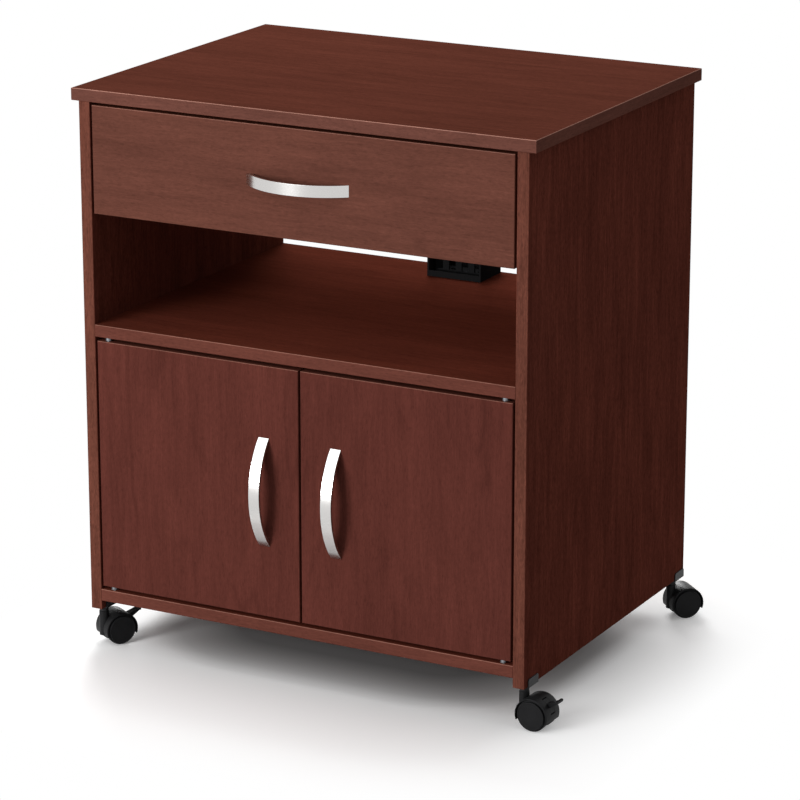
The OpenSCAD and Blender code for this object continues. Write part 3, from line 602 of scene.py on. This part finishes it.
class Piece:
    """A mesh under construction, shaped by edit-mode operators in a frame of its own."""

    def __init__(self, obj: bpy.types.Object, name: str) -> None:
        """Takes over an object that an operator has just added.

        Args:
            obj: The new object.
            name: Its name in the model.
        """
        self.obj = obj
        obj.name = obj.data.name = name
        self._apply_place()

    @classmethod
    def primitive(cls, name: str, add: Operator, **settings: object) -> "Piece":
        """A primitive, added with nothing else selected.

        Args:
            name: Name of the piece.
            add: The operator that adds it.
            **settings: What the operator is told.

        Returns:
            The piece.
        """
        bpy.ops.object.select_all(action="DESELECT")
        add(**settings)
        return cls(bpy.context.object, name)

    @classmethod
    def block(cls, name: str, low: Point, high: Point) -> "Piece":
        """A box from its lowest to its highest corner."""
        middle, size = [(a + b) / 2 for a, b in zip(low, high)], [b - a for a, b in zip(low, high)]
        return cls.primitive(name, bpy.ops.mesh.primitive_cube_add, size=1, location=middle, scale=size)

    @classmethod
    def rod(cls, name: str, radius: float, start: Point, end: Point, sides: int) -> "Piece":
        """A cylinder.

        Args:
            name: Name of the piece.
            radius: Its radius.
            start: The middle of one end.
            end: The middle of the other.
            sides: How many faces stand for its round side.

        Returns:
            The piece.
        """
        line, middle = Vector(end) - Vector(start), (Vector(start) + Vector(end)) / 2
        return cls.primitive(name, bpy.ops.mesh.primitive_cylinder_add, vertices=sides, radius=radius,
                             depth=line.length, location=middle,
                             rotation=line.to_track_quat("Z", "Y").to_euler())

    @classmethod
    def plate(cls, name: str, outline: Sequence[Pair], axis: Axis, start: float, end: float) -> "Piece":
        """An outline extruded along an axis: a filled circle whose corners are moved, then extruded.

        Args:
            name: Name of the piece.
            outline: Corners in the plane across the axis, its other two coordinates in order.
            axis: Axis that the outline is extruded along.
            start: Place of the outline on the axis.
            end: Where the extrusion ends.

        Returns:
            The piece.
        """
        piece = cls.primitive(name, bpy.ops.mesh.primitive_circle_add, vertices=len(outline), radius=0.01,
                              fill_type="NGON")
        across = [i for i in range(3) if i != axis.index]
        for vertex, corner in zip(piece.obj.data.vertices, outline):
            place = [start, start, start]
            place[across[0]], place[across[1]] = corner
            vertex.co = place
        return piece.extrude(anywhere, [c * (end - start) for c in axis.value])

    def _apply_place(self) -> None:
        """Puts the object's place and turn into its mesh."""
        only(self.obj)
        bpy.ops.object.transform_apply(location=True, rotation=True, scale=True)

    def edit(self, test: Test, kind: Kind = Kind.FACE) -> None:
        """Opens edit mode with chosen faces or edges selected.

        Args:
            test: Takes a face's middle and normal, or an edge's middle and direction.
            kind: Whether faces or edges are chosen.
        """
        only(self.obj)
        bpy.ops.object.mode_set(mode="EDIT")
        bpy.ops.mesh.select_mode(type=kind.value)
        bpy.ops.mesh.select_all(action="DESELECT")
        mesh = bmesh.from_edit_mesh(self.obj.data)
        mesh.normal_update()
        if kind is Kind.FACE:
            found = [face for face in mesh.faces if test(face.calc_center_median(), face.normal)]
        else:
            ends = [(edge, *(v.co for v in edge.verts)) for edge in mesh.edges]
            found = [edge for edge, a, b in ends if test((a + b) / 2, (b - a).normalized())]
        for part in found:
            part.select_set(True)
        bmesh.update_edit_mesh(self.obj.data)

    def close(self) -> "Piece":
        """Leaves edit mode with doubles merged and normals outwards.

        Returns:
            The piece.
        """
        if bpy.context.mode != "EDIT_MESH":
            only(self.obj)
            bpy.ops.object.mode_set(mode="EDIT")
        bpy.ops.mesh.select_all(action="SELECT")
        bpy.ops.mesh.remove_doubles(threshold=1e-6)
        bpy.ops.mesh.normals_make_consistent(inside=False)
        bpy.ops.object.mode_set(mode="OBJECT")
        return self

    def shape(self, test: Test, operator: Operator, kind: Kind = Kind.FACE, **settings: object) -> "Piece":
        """Runs an edit-mode operator on chosen faces or edges.

        Args:
            test: Chooses them, as for edit.
            operator: The operator.
            kind: Whether faces or edges are chosen.
            **settings: What the operator is told.

        Returns:
            The piece.
        """
        self.edit(test, kind)
        operator(**settings)
        return self.close()

    def inset(self, faces: Test, width: float, depth: float = 0.0) -> "Piece":
        """Insets faces by a width, and moves the inner face along its normal by a depth."""
        return self.shape(faces, bpy.ops.mesh.inset, thickness=width, depth=depth, use_even_offset=True)

    def extrude(self, faces: Test, step: Sequence[float]) -> "Piece":
        """Extrudes faces by a step."""
        return self.shape(faces, bpy.ops.mesh.extrude_region_move, TRANSFORM_OT_translate={"value": step})

    def bevel_edges(self, edges: Test, width: float, segments: int = 3) -> "Piece":
        """Rounds chosen edges."""
        return self.shape(edges, bpy.ops.mesh.bevel, Kind.EDGE, offset=width, segments=segments,
                          profile=0.5, affect="EDGES")

    def slice(self, point: Point, normal: Point, keep: Keep = Keep.BOTH) -> "Piece":
        """Cuts along a plane, and closes it where one side is taken off.

        Args:
            point: A point of the plane.
            normal: Its normal.
            keep: Which side stays.

        Returns:
            The piece.
        """
        return self.shape(anywhere, bpy.ops.mesh.bisect, plane_co=point, plane_no=normal,
                          use_fill=keep is not Keep.BOTH, clear_inner=keep is Keep.FRONT,
                          clear_outer=keep is Keep.BACK)

    def combine(self, others: Sequence["Piece"], join: Join) -> "Piece":
        """Unites the piece with others, or cuts them out of it, and removes them.

        Args:
            others: The other pieces.
            join: Whether they are united with it or cut it.

        Returns:
            The piece.
        """
        for other in others:
            only(self.obj)
            made = self.obj.modifiers.new("combine", "BOOLEAN")
            made.operation, made.solver, made.object = join.value, "EXACT", other.obj
            bpy.ops.object.modifier_apply(modifier=made.name)
            bpy.data.objects.remove(other.obj)
        return self

    def soften(self, width: float, angle: float = 40) -> "Piece":
        """Bevels what is sharp and shades the rest smooth.

        Args:
            width: Width of the bevel.
            angle: Edges sharper than this many degrees are bevelled.

        Returns:
            The piece.
        """
        only(self.obj)
        made = self.obj.modifiers.new("soften", "BEVEL")
        made.width, made.segments, made.limit_method = width, EASED_STEPS, "ANGLE"
        made.angle_limit = math.radians(angle)
        made.use_clamp_overlap = True
        bpy.ops.object.modifier_apply(modifier=made.name)
        return self.smooth()

    def smooth(self) -> "Piece":
        """Shades the piece smooth except over sharp edges.

        Returns:
            The piece.
        """
        only(self.obj)
        bpy.ops.object.shade_smooth_by_angle(angle=SMOOTH)
        return self

    def place(self, location: Point, turn: Point = (0.0, 0.0, 0.0), scale: float = 1.0) -> "Piece":
        """Scales the piece, turns it about its own origin and moves it.

        Args:
            location: How far it moves.
            turn: Degrees about X, Y and Z.
            scale: What its size is multiplied by.

        Returns:
            The piece.
        """
        self.obj.scale = (scale, scale, scale)
        self.obj.rotation_euler = [math.radians(a) for a in turn]
        self.obj.location = location
        self._apply_place()
        return self

    def copy(self, name: str) -> "Piece":
        """Copies the piece.

        Args:
            name: Name of the copy.

        Returns:
            The copy, with a mesh of its own.
        """
        twin = self.obj.copy()
        twin.data = self.obj.data.copy()
        bpy.context.scene.collection.objects.link(twin)
        return Piece(twin, name)

    def drop(self) -> None:
        """Removes a pattern piece once its copies are made."""
        bpy.data.objects.remove(self.obj)

    def dress(self, finish: Finish, body: str, *nodes: str) -> "Piece":
        """Gives the piece its finish, its body and the CAD nodes that it stands for.

        Args:
            finish: The finish.
            body: The body that it rides on.
            *nodes: The CAD nodes that it replaces.

        Returns:
            The piece.
        """
        self.obj.data.materials.clear()
        self.obj.data.materials.append(finish.material())
        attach(self.obj, body)
        if nodes:
            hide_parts(*nodes)
        LOG.info("%s: %d faces on %s", self.obj.name, len(self.obj.data.polygons), body)
        return self


def dress_node(node: str, finish: Finish) -> None:
    """Gives a CAD node its finish through its own material slots.

    Args:
        node: Name of the node.
        finish: The finish.
    """
    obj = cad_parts[node]
    if not obj.material_slots:
        obj.data.materials.append(finish.material())
    for slot in obj.material_slots:
        slot.material = finish.material()
    LOG.info("%s: %s", node, finish.name)


# ---------------------------------------------------------------- sub-assemblies


@dataclass
class Dressed:
    """CAD nodes that are shown as they are: finishes, each with the names of its nodes."""

    single: tuple[tuple[Finish, str], ...]
    paired: tuple[tuple[Finish, str], ...]

    def build(self) -> None:
        """Dresses each single node, and the left and right one of each pair."""
        for finish, nodes in self.single:
            for node in nodes.split():
                dress_node(node, finish)
        for finish, nodes in self.paired:
            for node in nodes.split():
                for side in SIDES:
                    dress_node(f"{node}_{side}", finish)


@dataclass
class Carcass(Dressed):
    """The boards, the hidden hardware between them, and the loose shelf on its pins."""

    single: tuple[tuple[Finish, str], ...] = (
        (Finishes.TOP, "top_panel"), (Finishes.LEVEL, "bottom_panel fixed_shelf adjustable_shelf"),
        (Finishes.FRONT, "back_rail"), (Finishes.BACK, "back_panel"), (Finishes.DOWEL, "wood_dowels"),
        (Finishes.ZINC, "shelf_pins cam_locks cam_bolts"), (Finishes.CATCH, "magnet_catches"),
        (Finishes.ACETAL, "pivot_bushings"))
    paired: tuple[tuple[Finish, str], ...] = ((Finishes.SIDE, "side_panel"),)


@dataclass
class Fronts(Dressed):
    """Doors and drawer: their boards, pivots, strikes, screws, box and slides."""

    single: tuple[tuple[Finish, str], ...] = (
        (Finishes.FRONT, "drawer_front"), (Finishes.DRAWER_BOARD, "drawer_back"),
        (Finishes.DRAWER_FLOOR, "drawer_bottom"), (Finishes.ZINC, "drawer_pull_screws"))
    paired: tuple[tuple[Finish, str], ...] = (
        (Finishes.DOOR, "door"), (Finishes.ZINC, "door_pivots door_pull_screws strike_plate"),
        (Finishes.DRAWER_BOARD, "drawer_side"), (Finishes.EPOXY, "drawer_runner slide_rail"),
        (Finishes.ACETAL, "rail_roller runner_roller"))


@dataclass
class BowPull:
    """A bowed strap pull, drawn with its length along X and its bow along +Y from the board."""

    length: float = 0.144
    out: float = 0.027
    width: float = 0.015
    thick: float = 0.004
    foot: float = 0.012
    edge: float = 0.0006
    pitch: float = 0.128
    screw: float = 0.00205
    screw_end: float = 0.00465
    past: float = 0.06
    steps: int = 32

    @property
    def radius(self) -> float:
        """Radius of the bow's outer face."""
        return ((self.length / 2) ** 2 + self.out**2) / (2 * self.out)

    def build(self) -> Piece:
        """Sweeps the strap a little past its length, squares its ends, and draws the feet to the board.

        Returns:
            The pull.
        """
        half, foot, stub = self.length / 2, self.length / 2 - self.foot, self.thick / 8
        strap = Piece.block("pull", (-stub, self.out - self.thick, -self.width / 2),
                            (stub, self.out, self.width / 2))
        for s in (-1, 1):
            sweep = s * (math.asin(half / self.radius) + self.past)
            strap.shape(lambda co, no: no.x * s > 0.9, bpy.ops.mesh.spin, steps=self.steps, angle=sweep,
                        center=(0, self.out - self.radius, 0), axis=(0, 0, 1))
        for s in (-1, 1):
            strap.slice((s * half, 0, 0), (s, 0, 0), Keep.BACK)
            strap.slice((s * foot, 0, 0), (1, 0, 0))
        strap.slice((0, 0, 0), (0, 1, 0), Keep.FRONT)
        strap.edit(lambda co, no: no.y < -0.5 and abs(co.x) > foot and co.y > NEAR)
        bpy.ops.mesh.extrude_region_move()
        bpy.ops.transform.resize(value=(1, 0, 1), center_override=(0, 0, 0))
        strap.close().soften(self.edge, angle=50)
        holes = [Piece.rod("hole", self.screw, (s * self.pitch / 2, -MM, 0),
                           (s * self.pitch / 2, self.screw_end, 0), sides=24) for s in (-1, 1)]
        return strap.combine(holes, Join.DIFFERENCE)


@dataclass
class Pulls:
    """The drawer's level pull and the doors' upright ones."""

    front: float = -0.240
    door_x: float = 0.0515
    door_z: float = 0.2525
    drawer_z: float = 0.65425
    bow: BowPull = field(default_factory=BowPull)

    def build(self) -> None:
        """Places three copies of one bow."""
        bow = self.bow.build()
        bow.copy("bow_pull_drawer").place((0, self.front, self.drawer_z), (0, 0, 180)).dress(
            Finishes.NICKEL_LEVEL, "drawer", "drawer_pull")
        upright = bow.copy("bow_upright").place((0, 0, 0), (0, 0, 180)).place((0, 0, 0), (0, 90, 0))
        for side, s in zip(SIDES, (-1, 1)):
            upright.copy(f"bow_pull_{side}").place((s * self.door_x, self.front, self.door_z)).dress(
                Finishes.NICKEL_UPRIGHT, f"{side}_door", f"door_pull_{side}")
        upright.drop()
        bow.drop()


@dataclass
class CableComb:
    """The moulded comb at the shelf's back edge, drawn in mm from its lower front edge.

    Its parts share faces: in mm their corners are exact numbers, and the unions stay closed.
    """

    origin: Point = (0.0, 0.178, 0.439)
    width: float = 80.0
    depth: float = 60.0
    wall: float = 2.5
    lip: float = 8.0
    height: float = 30.0
    finger_y: float = 14.0
    finger_t: float = 3.0
    post: float = 6.5
    slot: float = 10.0
    slots: int = 4
    corner: float = 5.0
    screw_x: float = 20.0
    screw_y: float = 38.5
    screw_r: float = 1.95

    def build(self) -> None:
        """Unites the tray's parts, eases their edges and dresses the comb and its screws."""
        half, fingers = self.width / 2, (self.finger_y, self.finger_y + self.finger_t)
        tray = Piece.block("cable_comb_moulding", (-half, 0, 0), (half, self.depth, self.wall))
        parts = [Piece.block("lip", (-half, start, 0), (half, end, self.lip))
                 for start, end in ((0, self.wall), fingers, (self.depth - self.wall, self.depth))]
        finger = (self.width - 2 * self.post - self.slots * self.slot) / (self.slots - 1)
        for i in range(1, self.slots):
            x = -half + self.post + i * (self.slot + finger) - finger / 2
            tip = arc((x, self.height - finger / 2), finger / 2, 0, 180, steps=16)
            tongue = [(x - finger / 2, 0), (x + finger / 2, 0), *tip]
            parts.append(Piece.plate("finger", tongue, Axis.Y, *fingers))
        r = self.corner
        wall = [(0, 0), (self.depth, 0), *arc((self.depth - r, self.height - r), r, 0, 90, steps=8),
                *arc((r, self.height - r), r, 90, 180, steps=8)]
        for s in (-1, 1):
            low, high = sorted((s * (half - self.wall), s * half))
            parts.append(Piece.plate("end", wall, Axis.X, low, high))
            low, high = sorted((s * (half - self.post), s * half))
            parts.append(Piece.block("post", (low, fingers[0], 0), (high, fingers[1], self.height - r)))
        tray.combine(parts, Join.UNION)
        holes = [Piece.rod("hole", self.screw_r, (s * self.screw_x, self.screw_y, -1),
                           (s * self.screw_x, self.screw_y, self.wall + 1), sides=32)
                 for s in (-1, 1)]
        tray.combine(holes, Join.DIFFERENCE).close().place(self.origin, scale=MM).soften(EASED)
        tray.dress(Finishes.ABS, "cabinet", "cable_comb")
        dress_node("comb_screws", Finishes.BLACK_SCREW)


@dataclass
class TwinWheelCaster:
    """A hooded twin-wheel caster, drawn with its swivel axis on Z and trailing along +X."""

    # The wheel: its tread, the disc that stands out of the tyre's side, and the hollow inside
    wheel_r: float = 0.0205
    wheel_w: float = 0.011
    wheel_in: float = 0.007
    tread_edge: float = 0.0010
    inner_edge: float = 0.0008
    disc_r: float = 0.0183
    disc_out: float = 0.0030
    disc_edge: float = 0.0006
    disc_rim: float = 0.0005
    dish: float = 0.0004
    dome: Pair = (0.0100, 0.0002)
    rim_t: float = 0.0029
    hollow: float = 0.0075
    web: float = 0.0093
    hub_t: float = 0.00445
    bore: float = 0.009
    trail: float = 0.018
    # The hood: its shell, the body between the wheels, the swivel boss and the axle's hub
    hood_r: float = 0.0225
    hood_t: float = 0.0012
    hood_w: float = 0.0344
    hood_edge: float = 0.0008
    body_w: float = 0.013
    drop: float = 0.0075
    boss_top: float = 0.0462
    stem_r: float = 0.00405
    stem_from: float = 0.023
    hub_r: float = 0.009
    axle_r: float = 0.00305
    # The pedal: its plate over degrees of the hood, its pin, and its lever's bar
    pivot: Pair = (0.012, 0.012)
    pedal_w: float = 0.010
    pedal_t: float = 0.002
    pedal_in: float = 0.0014
    pedal_from: float = 10.0
    pedal_to: float = 62.0
    boss_r: float = 0.004
    pin_r: float = 0.0015
    pin_half: float = 0.0063
    reach: float = 0.0325
    bar: Pair = (0.003, 0.014)
    bar_z: Pair = (0.019, 0.022)
    # Degrees of the rim where web and lever meet the plate, and how far the lever's tip is inside the bar
    web_at: tuple[float, ...] = (32.0, 38.0, 44.0, 50.0, 56.0)
    lever_at: Pair = (28.0, 47.0)
    lever_in: Pair = (0.0002, 0.0006)
    # Its room: side gap, inner radius, degrees past the plate's ends and down inside the shell, pin bore
    gap: float = 0.0003
    room_r: float = 0.010
    past: float = 4.0
    below: float = 16.0
    pin_bore: Pair = (0.00155, 0.0065)

    def wheel(self) -> Piece:
        """The wheel on the +Y side: rounded tread, a plain disc standing out, hollow inside.

        Returns:
            The piece.
        """
        x, z, y0, y1 = self.trail, self.wheel_r, self.wheel_in, self.wheel_in + self.wheel_w
        tyre = y1 - self.disc_out
        made = Piece.rod("wheel", self.wheel_r, (x, y0, z), (x, tyre, z), sides=96)

        def cap(y: float) -> Test:
            """The face across the axle at a depth, its middle on the axle."""
            return lambda co, no: abs(no.y) > 0.9 and abs(co.y - y) < NEAR * 10 and math.hypot(
                co.x - x, co.z - z) < NEAR * 10

        made.bevel_edges(lambda co, d: abs(co.y - tyre) < NEAR, self.tread_edge, 4)
        made.bevel_edges(lambda co, d: abs(co.y - y0) < NEAR, self.inner_edge)
        made.inset(cap(tyre), self.wheel_r - self.tread_edge - self.disc_r)
        made.extrude(cap(tyre), (0, self.disc_out, 0))
        made.bevel_edges(lambda co, d: abs(co.y - y1) < NEAR, self.disc_edge)
        made.inset(cap(y1), self.disc_rim).inset(cap(y1), self.dish, -self.dish)
        made.inset(cap(y1 - self.dish), *self.dome)
        # Inside: the rim's hollow, the hub that stands in it, and the bore
        made.inset(cap(y0), self.rim_t).extrude(cap(y0), (0, self.hollow, 0))
        made.inset(cap(y0 + self.hollow), self.web).extrude(cap(y0 + self.hollow), (0, -self.hollow, 0))
        made.inset(cap(y0), self.hub_t).extrude(cap(y0), (0, self.bore, 0))
        return made.smooth()

    def hood(self, braked: bool) -> Piece:
        """The hood: a barrel hollowed for the wheels, cut off below, with its swivel boss.

        Args:
            braked: Whether it has a window for a pedal.

        Returns:
            The piece.
        """
        x, z, half, w = self.trail, self.wheel_r, self.hood_w / 2, self.body_w / 2
        made = Piece.rod("hood", self.hood_r, (x, -half, z), (x, half, z), sides=96)
        made.bevel_edges(lambda co, d: abs(abs(co.y) - half) < NEAR, self.hood_edge)
        made.inset(lambda co, no: abs(no.y) > 0.9 and abs(abs(co.y) - half) < NEAR,
                   self.hood_t - self.hood_edge)
        for s in (1, -1):
            made.extrude(lambda co, no: s * no.y > 0.9 and abs(s * co.y - half) < NEAR
                         and abs(co.x - x) < NEAR * 10, (0, s * (w - half), 0))
        made.slice((0, 0, z - self.drop), (0, 0, 1), Keep.FRONT)
        boss = Piece.rod("boss", w, (0, 0, z - self.drop), (0, 0, self.boss_top), sides=64)
        boss.bevel_edges(lambda co, d: abs(co.z - self.boss_top) < NEAR, self.hood_edge)
        hub = Piece.rod("hub", self.hub_r, (x, -w, z), (x, w, z), sides=48)
        made.combine([boss, hub], Join.UNION)
        above = self.boss_top + 2 * MM
        cuts = [Piece.rod("stem_bore", self.stem_r, (0, 0, self.stem_from), (0, 0, above), sides=48),
                Piece.rod("axle_bore", self.axle_r, (x, -20 * MM, z), (x, 20 * MM, z), sides=32)]
        if braked:
            cuts += self._pedal_room()
        return made.combine(cuts, Join.DIFFERENCE).close().smooth()

    def _sector(self, inner: float, outer: float, start: float, end: float) -> list[Pair]:
        """Outline of a ring's sector round the axle, in X and Z, angles in degrees from +X."""
        hub = (self.trail, self.wheel_r)
        return arc(hub, outer, start, end, steps=14) + arc(hub, inner, end, start, steps=14)

    def _pedal_room(self) -> list[Piece]:
        """The window in the shell and the space behind it that the pedal swings in.

        Returns:
            What is cut out of the hood: window, space and pin bore.
        """
        half, inner, end = self.pedal_w / 2 + self.gap, self.room_r, self.pedal_to + self.past
        room = [(inner, self.hood_r + MM, self.pedal_from - self.past, end),
                (inner, self.hood_r - self.hood_t, self.pedal_from - self.below, end)]
        cuts = [Piece.plate("room", self._sector(*r), Axis.Y, -half, half) for r in room]
        px, pz = self.trail + self.pivot[0], self.wheel_r + self.pivot[1]
        r, deep = self.pin_bore
        return cuts + [Piece.rod("pin_bore", r, (px, -deep, pz), (px, deep, pz), sides=24)]

    def pedal(self) -> Piece:
        """The brake pedal: a plate flush with the hood, a lever with a cross bar, a boss on pins.

        Returns:
            The piece.
        """
        half, x, z = self.pedal_w / 2, self.trail, self.wheel_r
        px, pz = x + self.pivot[0], z + self.pivot[1]
        plate = self._sector(self.hood_r - self.pedal_t, self.hood_r, self.pedal_from, self.pedal_to)
        made = Piece.plate("pedal", plate, Axis.Y, -half, half)

        def rim(a: float) -> Pair:
            """A point within the plate's thickness."""
            return arc((x, z), self.hood_r - self.pedal_in, a, a, steps=1)[0]

        tip, low, high = x + self.reach, z + self.bar_z[0], z + self.bar_z[1]
        web = [(px, pz), *(rim(a) for a in self.web_at)]
        lever = [rim(self.lever_at[0]), (tip, low + self.lever_in[0]), (tip, high - self.lever_in[1]),
                 rim(self.lever_at[1])]
        parts = [Piece.plate("web", web, Axis.Y, -half, half),
                 Piece.plate("lever", lever, Axis.Y, -half, half),
                 Piece.rod("boss", self.boss_r, (px, -half, pz), (px, half, pz), sides=32),
                 Piece.rod("pin", self.pin_r, (px, -self.pin_half, pz), (px, self.pin_half, pz), sides=24),
                 Piece.block("bar", (tip - self.bar[0], -self.bar[1] / 2, low), (tip, self.bar[1] / 2, high))]
        return made.combine(parts, Join.UNION).close().soften(EASED)


@dataclass
class CasterSet:
    """Four casters, each swivelled as in the photo, and the brackets that hold them."""

    caster: TwinWheelCaster = field(default_factory=TwinWheelCaster)
    board: float = 0.016
    steel: float = 0.0016
    edge_z: float = 0.054
    tab: float = 0.010
    length: float = 0.028
    ahead: float = 0.008
    chamfer: float = 0.002
    collar_r: float = 0.006
    collar_end: float = 0.0465
    stem_r: float = 0.004
    stem_end: float = 0.0235
    places: dict[str, Point] = field(default_factory=lambda: {
        "front_left": (-0.3065, -0.2225, 58.7), "front_right": (0.3065, -0.2225, -2.4),
        "rear_left": (-0.3065, 0.221, 180.0), "rear_right": (0.3065, 0.221, 47.5),
    })

    def build(self) -> None:
        """Models each kind of piece once and sets its copies in their places."""
        wheel, plain = self.caster.wheel(), self.caster.hood(False)
        braked, pedal = self.caster.hood(True), self.caster.pedal()
        other = wheel.copy("wheel_other").place((2 * self.caster.trail, 0, 0), (0, 0, 180))
        for end, (x, y, turn) in self.places.items():
            at = ((x, y, 0), (0, 0, turn))
            front = end.startswith("front")
            (braked if front else plain).copy(f"hood_{end}").place(*at).dress(
                Finishes.NYLON, f"{end}_swivel", f"caster_hood_{end}")
            for letter, pattern in (("a", other), ("b", wheel)):
                pattern.copy(f"twin_wheel_{end}_{letter}").place(*at).dress(
                    Finishes.NYLON, f"{end}_wheel_{letter}", f"wheel_{end}_{letter}")
            if front:
                pedal.copy(f"pedal_{end}").place(*at).dress(
                    Finishes.NYLON, f"{end}_pedal", f"brake_pedal_{end}")
            dress_node(f"caster_axle_{end}", Finishes.ZINC)
        for pattern in (wheel, other, plain, braked, pedal):
            pattern.drop()
        self._brackets()

    def _brackets(self) -> None:
        """Folds the steel brackets over the boards' lower edges, each with collar and stem."""
        y0, y1, c, half = -self.ahead, self.length - self.ahead, self.chamfer, self.board / 2
        z0, z1 = self.edge_z - self.steel, self.edge_z + self.tab
        outline = [(y0, z0), (y1, z0), (y1, z1 - c), (y1 - c, z1), (y0 + c, z1), (y0, z1 - c)]
        made = Piece.plate("bracket", outline, Axis.X, -half - self.steel, half + self.steel)
        board = Piece.block("board", (-half, y0 - MM, self.edge_z), (half, y1 + MM, z1 + MM))
        made.combine([board], Join.DIFFERENCE).close().soften(EASED)
        stem = [Piece.rod(name, radius, (0, 0, end), (0, 0, z0 + self.steel / 2), sides=48)
                for name, radius, end in (("collar", self.collar_r, self.collar_end),
                                          ("stem", self.stem_r, self.stem_end))]
        made.combine(stem, Join.UNION).close().smooth()
        copies = [made.copy(f"bracket_{end}").place((x, y, 0)) for end, (x, y, _) in self.places.items()]
        for copy in copies[:-1]:
            copy.dress(Finishes.PHOSPHATE, "cabinet")
        copies[-1].dress(Finishes.PHOSPHATE, "cabinet", "caster_brackets")
        made.drop()


# ---------------------------------------------------------------- studio


@dataclass(frozen=True)
class Lamp:
    """A square soft lamp aimed at a point."""

    name: str
    at: Point
    target: Point
    size: float
    watts: float

    def hang(self) -> None:
        """Adds the lamp to the scene."""
        data = bpy.data.lights.new(self.name, "AREA")
        data.size, data.energy = self.size, self.watts
        lamp = bpy.data.objects.new(self.name, data)
        lamp.location = self.at
        lamp.rotation_euler = (Vector(self.target) - Vector(self.at)).to_track_quat("-Z", "Y").to_euler()
        bpy.context.scene.collection.objects.link(lamp)


@dataclass
class Studio:
    """A white floor, soft lamps and the camera at the photo's view."""

    camera_at: Point = (2.12961, -3.96189, 1.66237)
    azimuth: float = 28.10417
    elevation: float = 16.64579
    lens: float = 162.302
    sensor: float = 36.0
    clip: Pair = (0.1, 60.0)
    lamps: tuple[Lamp, ...] = (
        Lamp("key_lamp", (-1.75, -4.1, 1.1), (0.0, -0.2, 0.42), 1.6, 129.0),
        Lamp("upper_lamp", (-0.8, -1.85, 1.95), (0.0, -0.1, 0.5), 1.5, 13.5),
        Lamp("back_lamp", (-0.9, 1.4, 2.2), (0.0, 0.0, 0.7), 1.2, 26.0),
        Lamp("low_back_lamp", (-1.4, 2.7, 1.15), (0.0, 0.0, 0.45), 1.0, 45.0),
    )
    ambient: float = 0.4
    floor_size: float = 24.0
    floor_albedo: float = 0.5
    # Half the width and depth of the cart's outline on the floor, less 0.2 m for its round corners
    core: Pair = (0.1145, 0.042)
    # The paper's painted shadow: its tone on the way out to this distance, dark under the cart and white
    # beyond, and its exposure
    painted_shadow_reach: float = 0.5
    painted_shadow_tones: tuple[tuple[float, str], ...] = (
        (0.16, "#767676"), (0.32, "#b2b2b2"), (0.4, "#dcdcdc"), (0.8, "#fbfbfb"), (1.0, "#ffffff"))
    exposure: float = 1.5
    # Distances between which the paper fades to plain white, all round and beside the cart
    fade: Pair = (0.34, 0.52)
    fade_aside: Pair = (0.165, 0.365)

    def build(self) -> None:
        """Sets the view transform, world, floor, lamps and camera."""
        scene = bpy.context.scene
        scene.view_settings.view_transform = "Standard"
        self._world()
        self._floor()
        for lamp in self.lamps:
            lamp.hang()
        data = bpy.data.cameras.new("view")
        data.lens, data.sensor_width, data.sensor_fit = self.lens, self.sensor, "HORIZONTAL"
        data.clip_start, data.clip_end = self.clip
        camera = bpy.data.objects.new("view", data)
        camera.location = self.camera_at
        camera.rotation_euler = (math.radians(90 - self.elevation), 0, math.radians(self.azimuth))
        scene.collection.objects.link(camera)
        scene.camera = camera

    def _world(self) -> None:
        """Plain white where it is seen, and a lower level where it lights."""
        world = bpy.data.worlds.new("studio")
        bpy.context.scene.world = world
        world.use_nodes = True
        world.node_tree.nodes.clear()
        graph = Graph(world.node_tree)
        light = graph.add("Background", {0: WHITE, 1: self.ambient})
        white = graph.add("Background", {0: WHITE, 1: 1.0})
        graph.add("OutputWorld", {0: graph.either(graph.seen(), light, white).outputs[0]})

    def _floor(self) -> None:
        """A floor that takes the cart's shadow near it, with a painted shadow under the cart, and is plain
        white further off.
        """
        floor = Piece.primitive("studio_floor", bpy.ops.mesh.primitive_plane_add, size=self.floor_size).obj
        made = bpy.data.materials.new("paper_sweep")
        made.use_nodes = True
        made.node_tree.nodes.clear()
        graph = Graph(made.node_tree)
        bounce = graph.add("BsdfDiffuse", {0: (self.floor_albedo,) * 3 + (1.0,)})
        white = graph.add("Emission", {0: WHITE, 1: 1.0})
        # Distance from the core of the cart's outline on the floor
        place = graph.vector("ABSOLUTE", {0: graph.add("TexCoord").outputs["Object"]}).outputs[0]
        for operation, value in (("SUBTRACT", (*self.core, 0)), ("MAXIMUM", (0, 0, 0))):
            place = graph.vector(operation, {0: place, 1: value}).outputs[0]
        beside = graph.vector("LENGTH", {0: place}).outputs["Value"]
        # The paper is exposed for white beside the cart, and its colour is darkened under it: a painted
        # shadow
        tone = graph.ramp(graph.between(beside, 0.0, self.painted_shadow_reach), *self.painted_shadow_tones)
        paper = graph.add("BsdfDiffuse", {0: graph.shade(tone, self.exposure)})
        # To the right and left it fades to plain white sooner than in front, which paints out the key lamp's
        # shadow beside the cart
        fade = graph.between(beside, *self.fade, "SMOOTHSTEP")
        aside = graph.between(graph.part(place, Axis.X), *self.fade_aside)
        shown = graph.either(graph.maths("MAXIMUM", fade, aside), paper, white)
        mixed = graph.either(graph.seen(), bounce, shown)
        graph.add("OutputMaterial", {0: mixed.outputs[0]})
        floor.data.materials.append(made)


def main() -> None:
    """Builds the studio, then each sub-assembly."""
    logging.basicConfig(level=logging.INFO, format="%(message)s")
    Studio().build()
    for assembly in (Carcass(), Fronts(), Pulls(), CableComb(), CasterSet()):
        assembly.build()
        LOG.info("done: %s", type(assembly).__name__)


if __name__ == "__main__":
    main()
